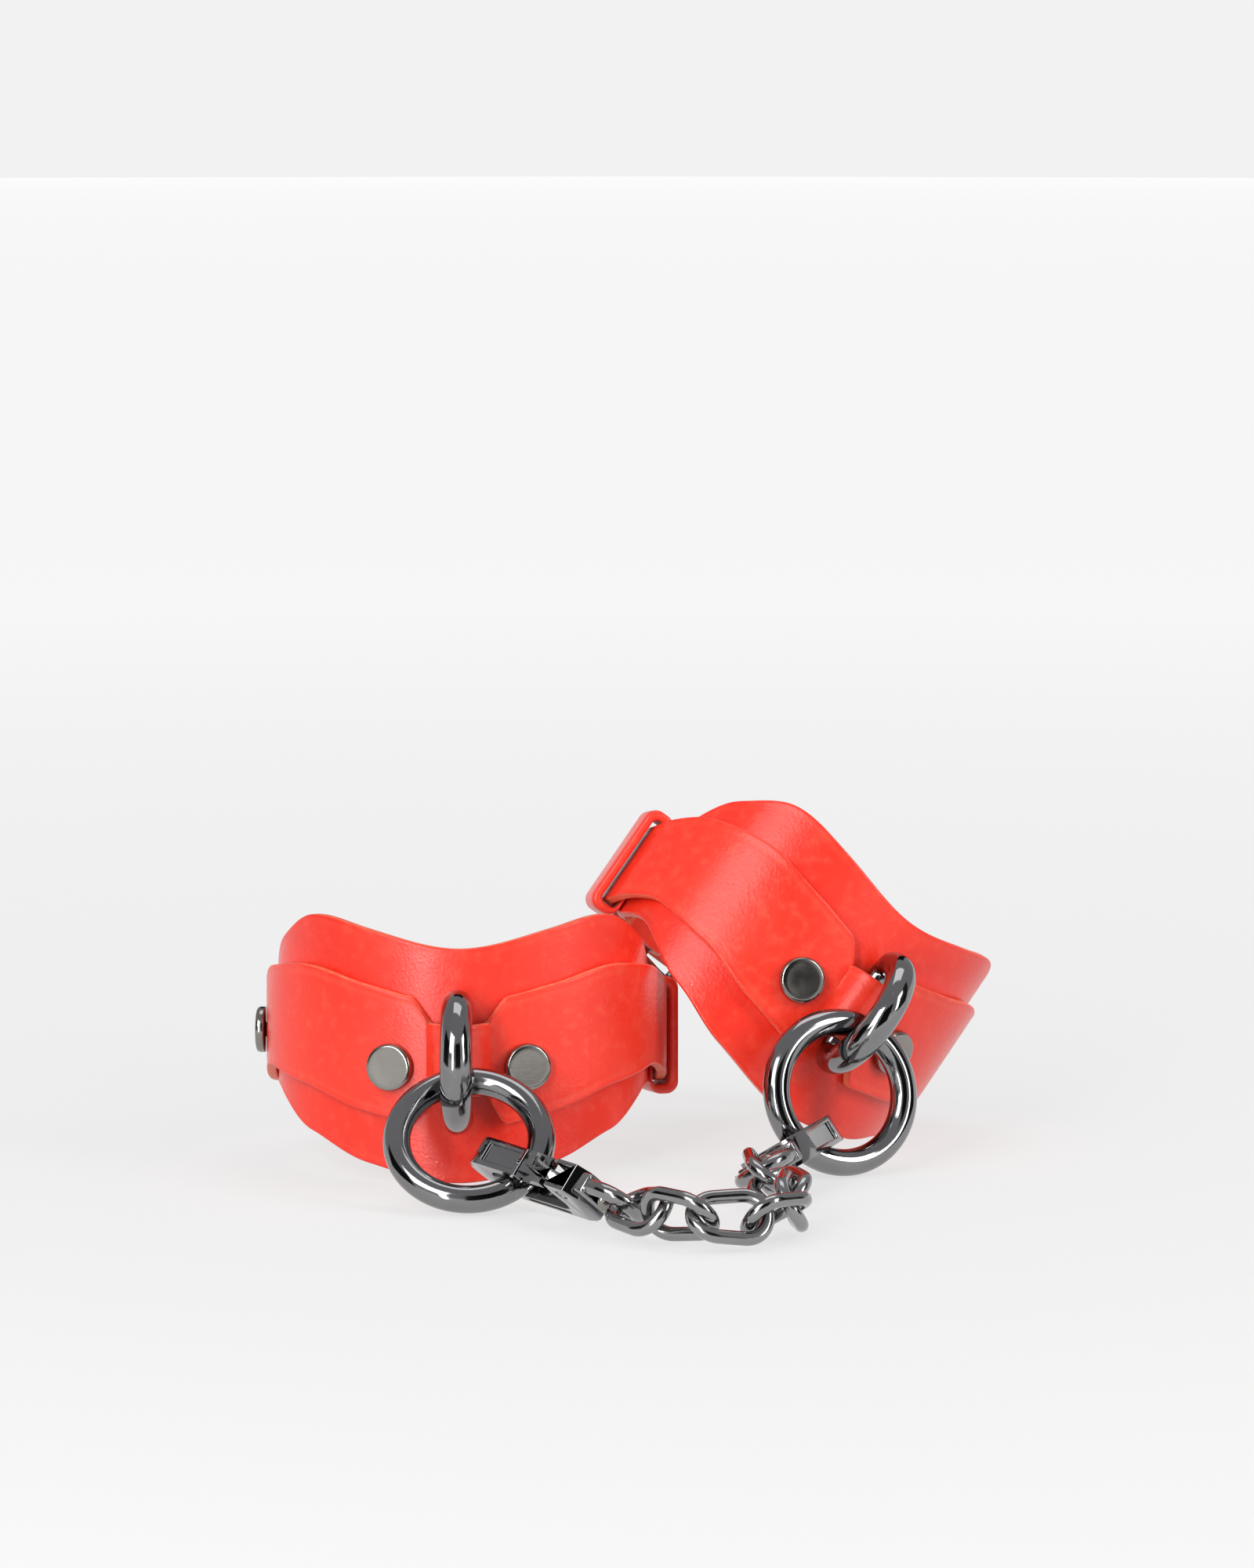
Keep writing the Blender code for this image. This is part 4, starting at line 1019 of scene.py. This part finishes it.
def quad(name, corners, material):
    """One flat face that is part of the stage."""
    mesh = bpy.data.meshes.new(name)
    mesh.from_pydata(corners, [], [tuple(range(len(corners)))])
    mesh.materials.append(material)
    obj = bpy.data.objects.new(name, mesh)
    bpy.context.scene.collection.objects.link(obj)
    return obj


FLOOR = stage_material("pale_floor", (0.20, 0.20, 0.20), FLOOR_GLOW[0])


def even_out(material):
    """The lamps light the middle of the floor most, so it glows more further out."""
    tree = material.node_tree
    coords = tree.nodes.new("ShaderNodeTexCoord")
    length = tree.nodes.new("ShaderNodeVectorMath")
    length.operation = "LENGTH"
    tree.links.new(coords.outputs["Object"], length.inputs[0])
    spread_out = tree.nodes.new("ShaderNodeMapRange")
    for socket, number in zip(("From Min", "From Max", "To Min", "To Max"), GLOW_REACH + FLOOR_GLOW):
        spread_out.inputs[socket].default_value = number
    tree.links.new(length.outputs["Value"], spread_out.inputs["Value"])
    tree.links.new(spread_out.outputs["Result"],
                   tree.nodes["Principled BSDF"].inputs["Emission Strength"])


even_out(FLOOR)
WALL = stage_material("pale_wall", (0.02, 0.02, 0.02), 0.875)
CARD = stage_material("dark_card", (0.01, 0.01, 0.01), 0.0)
floor = quad("floor", [(-FLOOR_REACH, -FLOOR_REACH, 0), (FLOOR_REACH, -FLOOR_REACH, 0),
                       (FLOOR_REACH, FLOOR_REACH, 0), (-FLOOR_REACH, FLOOR_REACH, 0)], FLOOR)
# The glow would light the leather from below, which flattens it.
floor.visible_diffuse = False
for i in range(WALL_SIDES):
    a, b = (2 * math.pi * k / WALL_SIDES for k in (i, i + 1))
    foot = [(WALL_RADIUS * math.cos(angle), WALL_RADIUS * math.sin(angle)) for angle in (a, b)]
    quad("wall_%02d" % i, [(*foot[0], 0), (*foot[1], 0), (*foot[1], WALL_HEIGHT),
                           (*foot[0], WALL_HEIGHT)], WALL)


def card(name, azimuth, width, low, high):
    """A dark upright card that only reflections see, as in a product photographer's tent."""
    a = math.radians(azimuth)
    middle = Vector((math.sin(a), -math.cos(a), 0)) * CARD_DISTANCE
    across = Vector((math.cos(a), math.sin(a), 0)) * width / 2
    corners = [middle - across + Vector((0, 0, low)), middle + across + Vector((0, 0, low)),
               middle + across + Vector((0, 0, high)), middle - across + Vector((0, 0, high))]
    obj = quad(name, corners, CARD)
    obj.visible_camera = False
    obj.visible_diffuse = False
    obj.visible_shadow = False
    obj.visible_transmission = False


card("card_front", 14, 0.62, 0.02, 0.75)
card("card_left", -75, 0.7, 0.02, 0.6)
card("card_right", 80, 0.55, 0.02, 0.9)
card("card_back", 178, 0.5, 0.25, 0.8)


def area(name, location, height, size, power):
    """A soft lamp aimed at a point this high above the middle of the floor."""
    data = bpy.data.lights.new(name, "AREA")
    data.shape = "RECTANGLE"
    data.size, data.size_y = size
    data.energy = power
    obj = bpy.data.objects.new(name, data)
    obj.location = location
    aim = Vector((0, 0, height)) - Vector(location)
    obj.rotation_euler = aim.to_track_quat("-Z", "Y").to_euler()
    bpy.context.scene.collection.objects.link(obj)


area("key", (-0.50, -0.72, 0.66), 0.03, (0.55, 0.55), 4.4)
area("fill", (0.85, -0.45, 0.45), 0.03, (0.30, 0.6), 4.8)
area("top", (0.05, 0.30, 1.1), 0.03, (0.7, 0.5), 1.8)
area("strip_left", (-0.39, -0.92, 0.20), 0.04, (0.10, 0.60), 4.2)

world = bpy.data.worlds.new("studio")
world.use_nodes = True
background = world.node_tree.nodes["Background"]
background.inputs["Color"].default_value = (0.42, 0.42, 0.43, 1.0)
background.inputs["Strength"].default_value = 1.0
bpy.context.scene.world = world
bpy.context.scene.view_settings.view_transform = "Standard"

camera_data = bpy.data.cameras.new("camera")
camera_data.lens = 132.8
camera_data.sensor_width = 36.0
camera = bpy.data.objects.new("camera", camera_data)
camera.rotation_euler = (math.radians(83.0), 0.0, 0.0)
camera.location = (-0.0001, -1.1930, 0.2292)
bpy.context.scene.collection.objects.link(camera)
bpy.context.scene.camera = camera
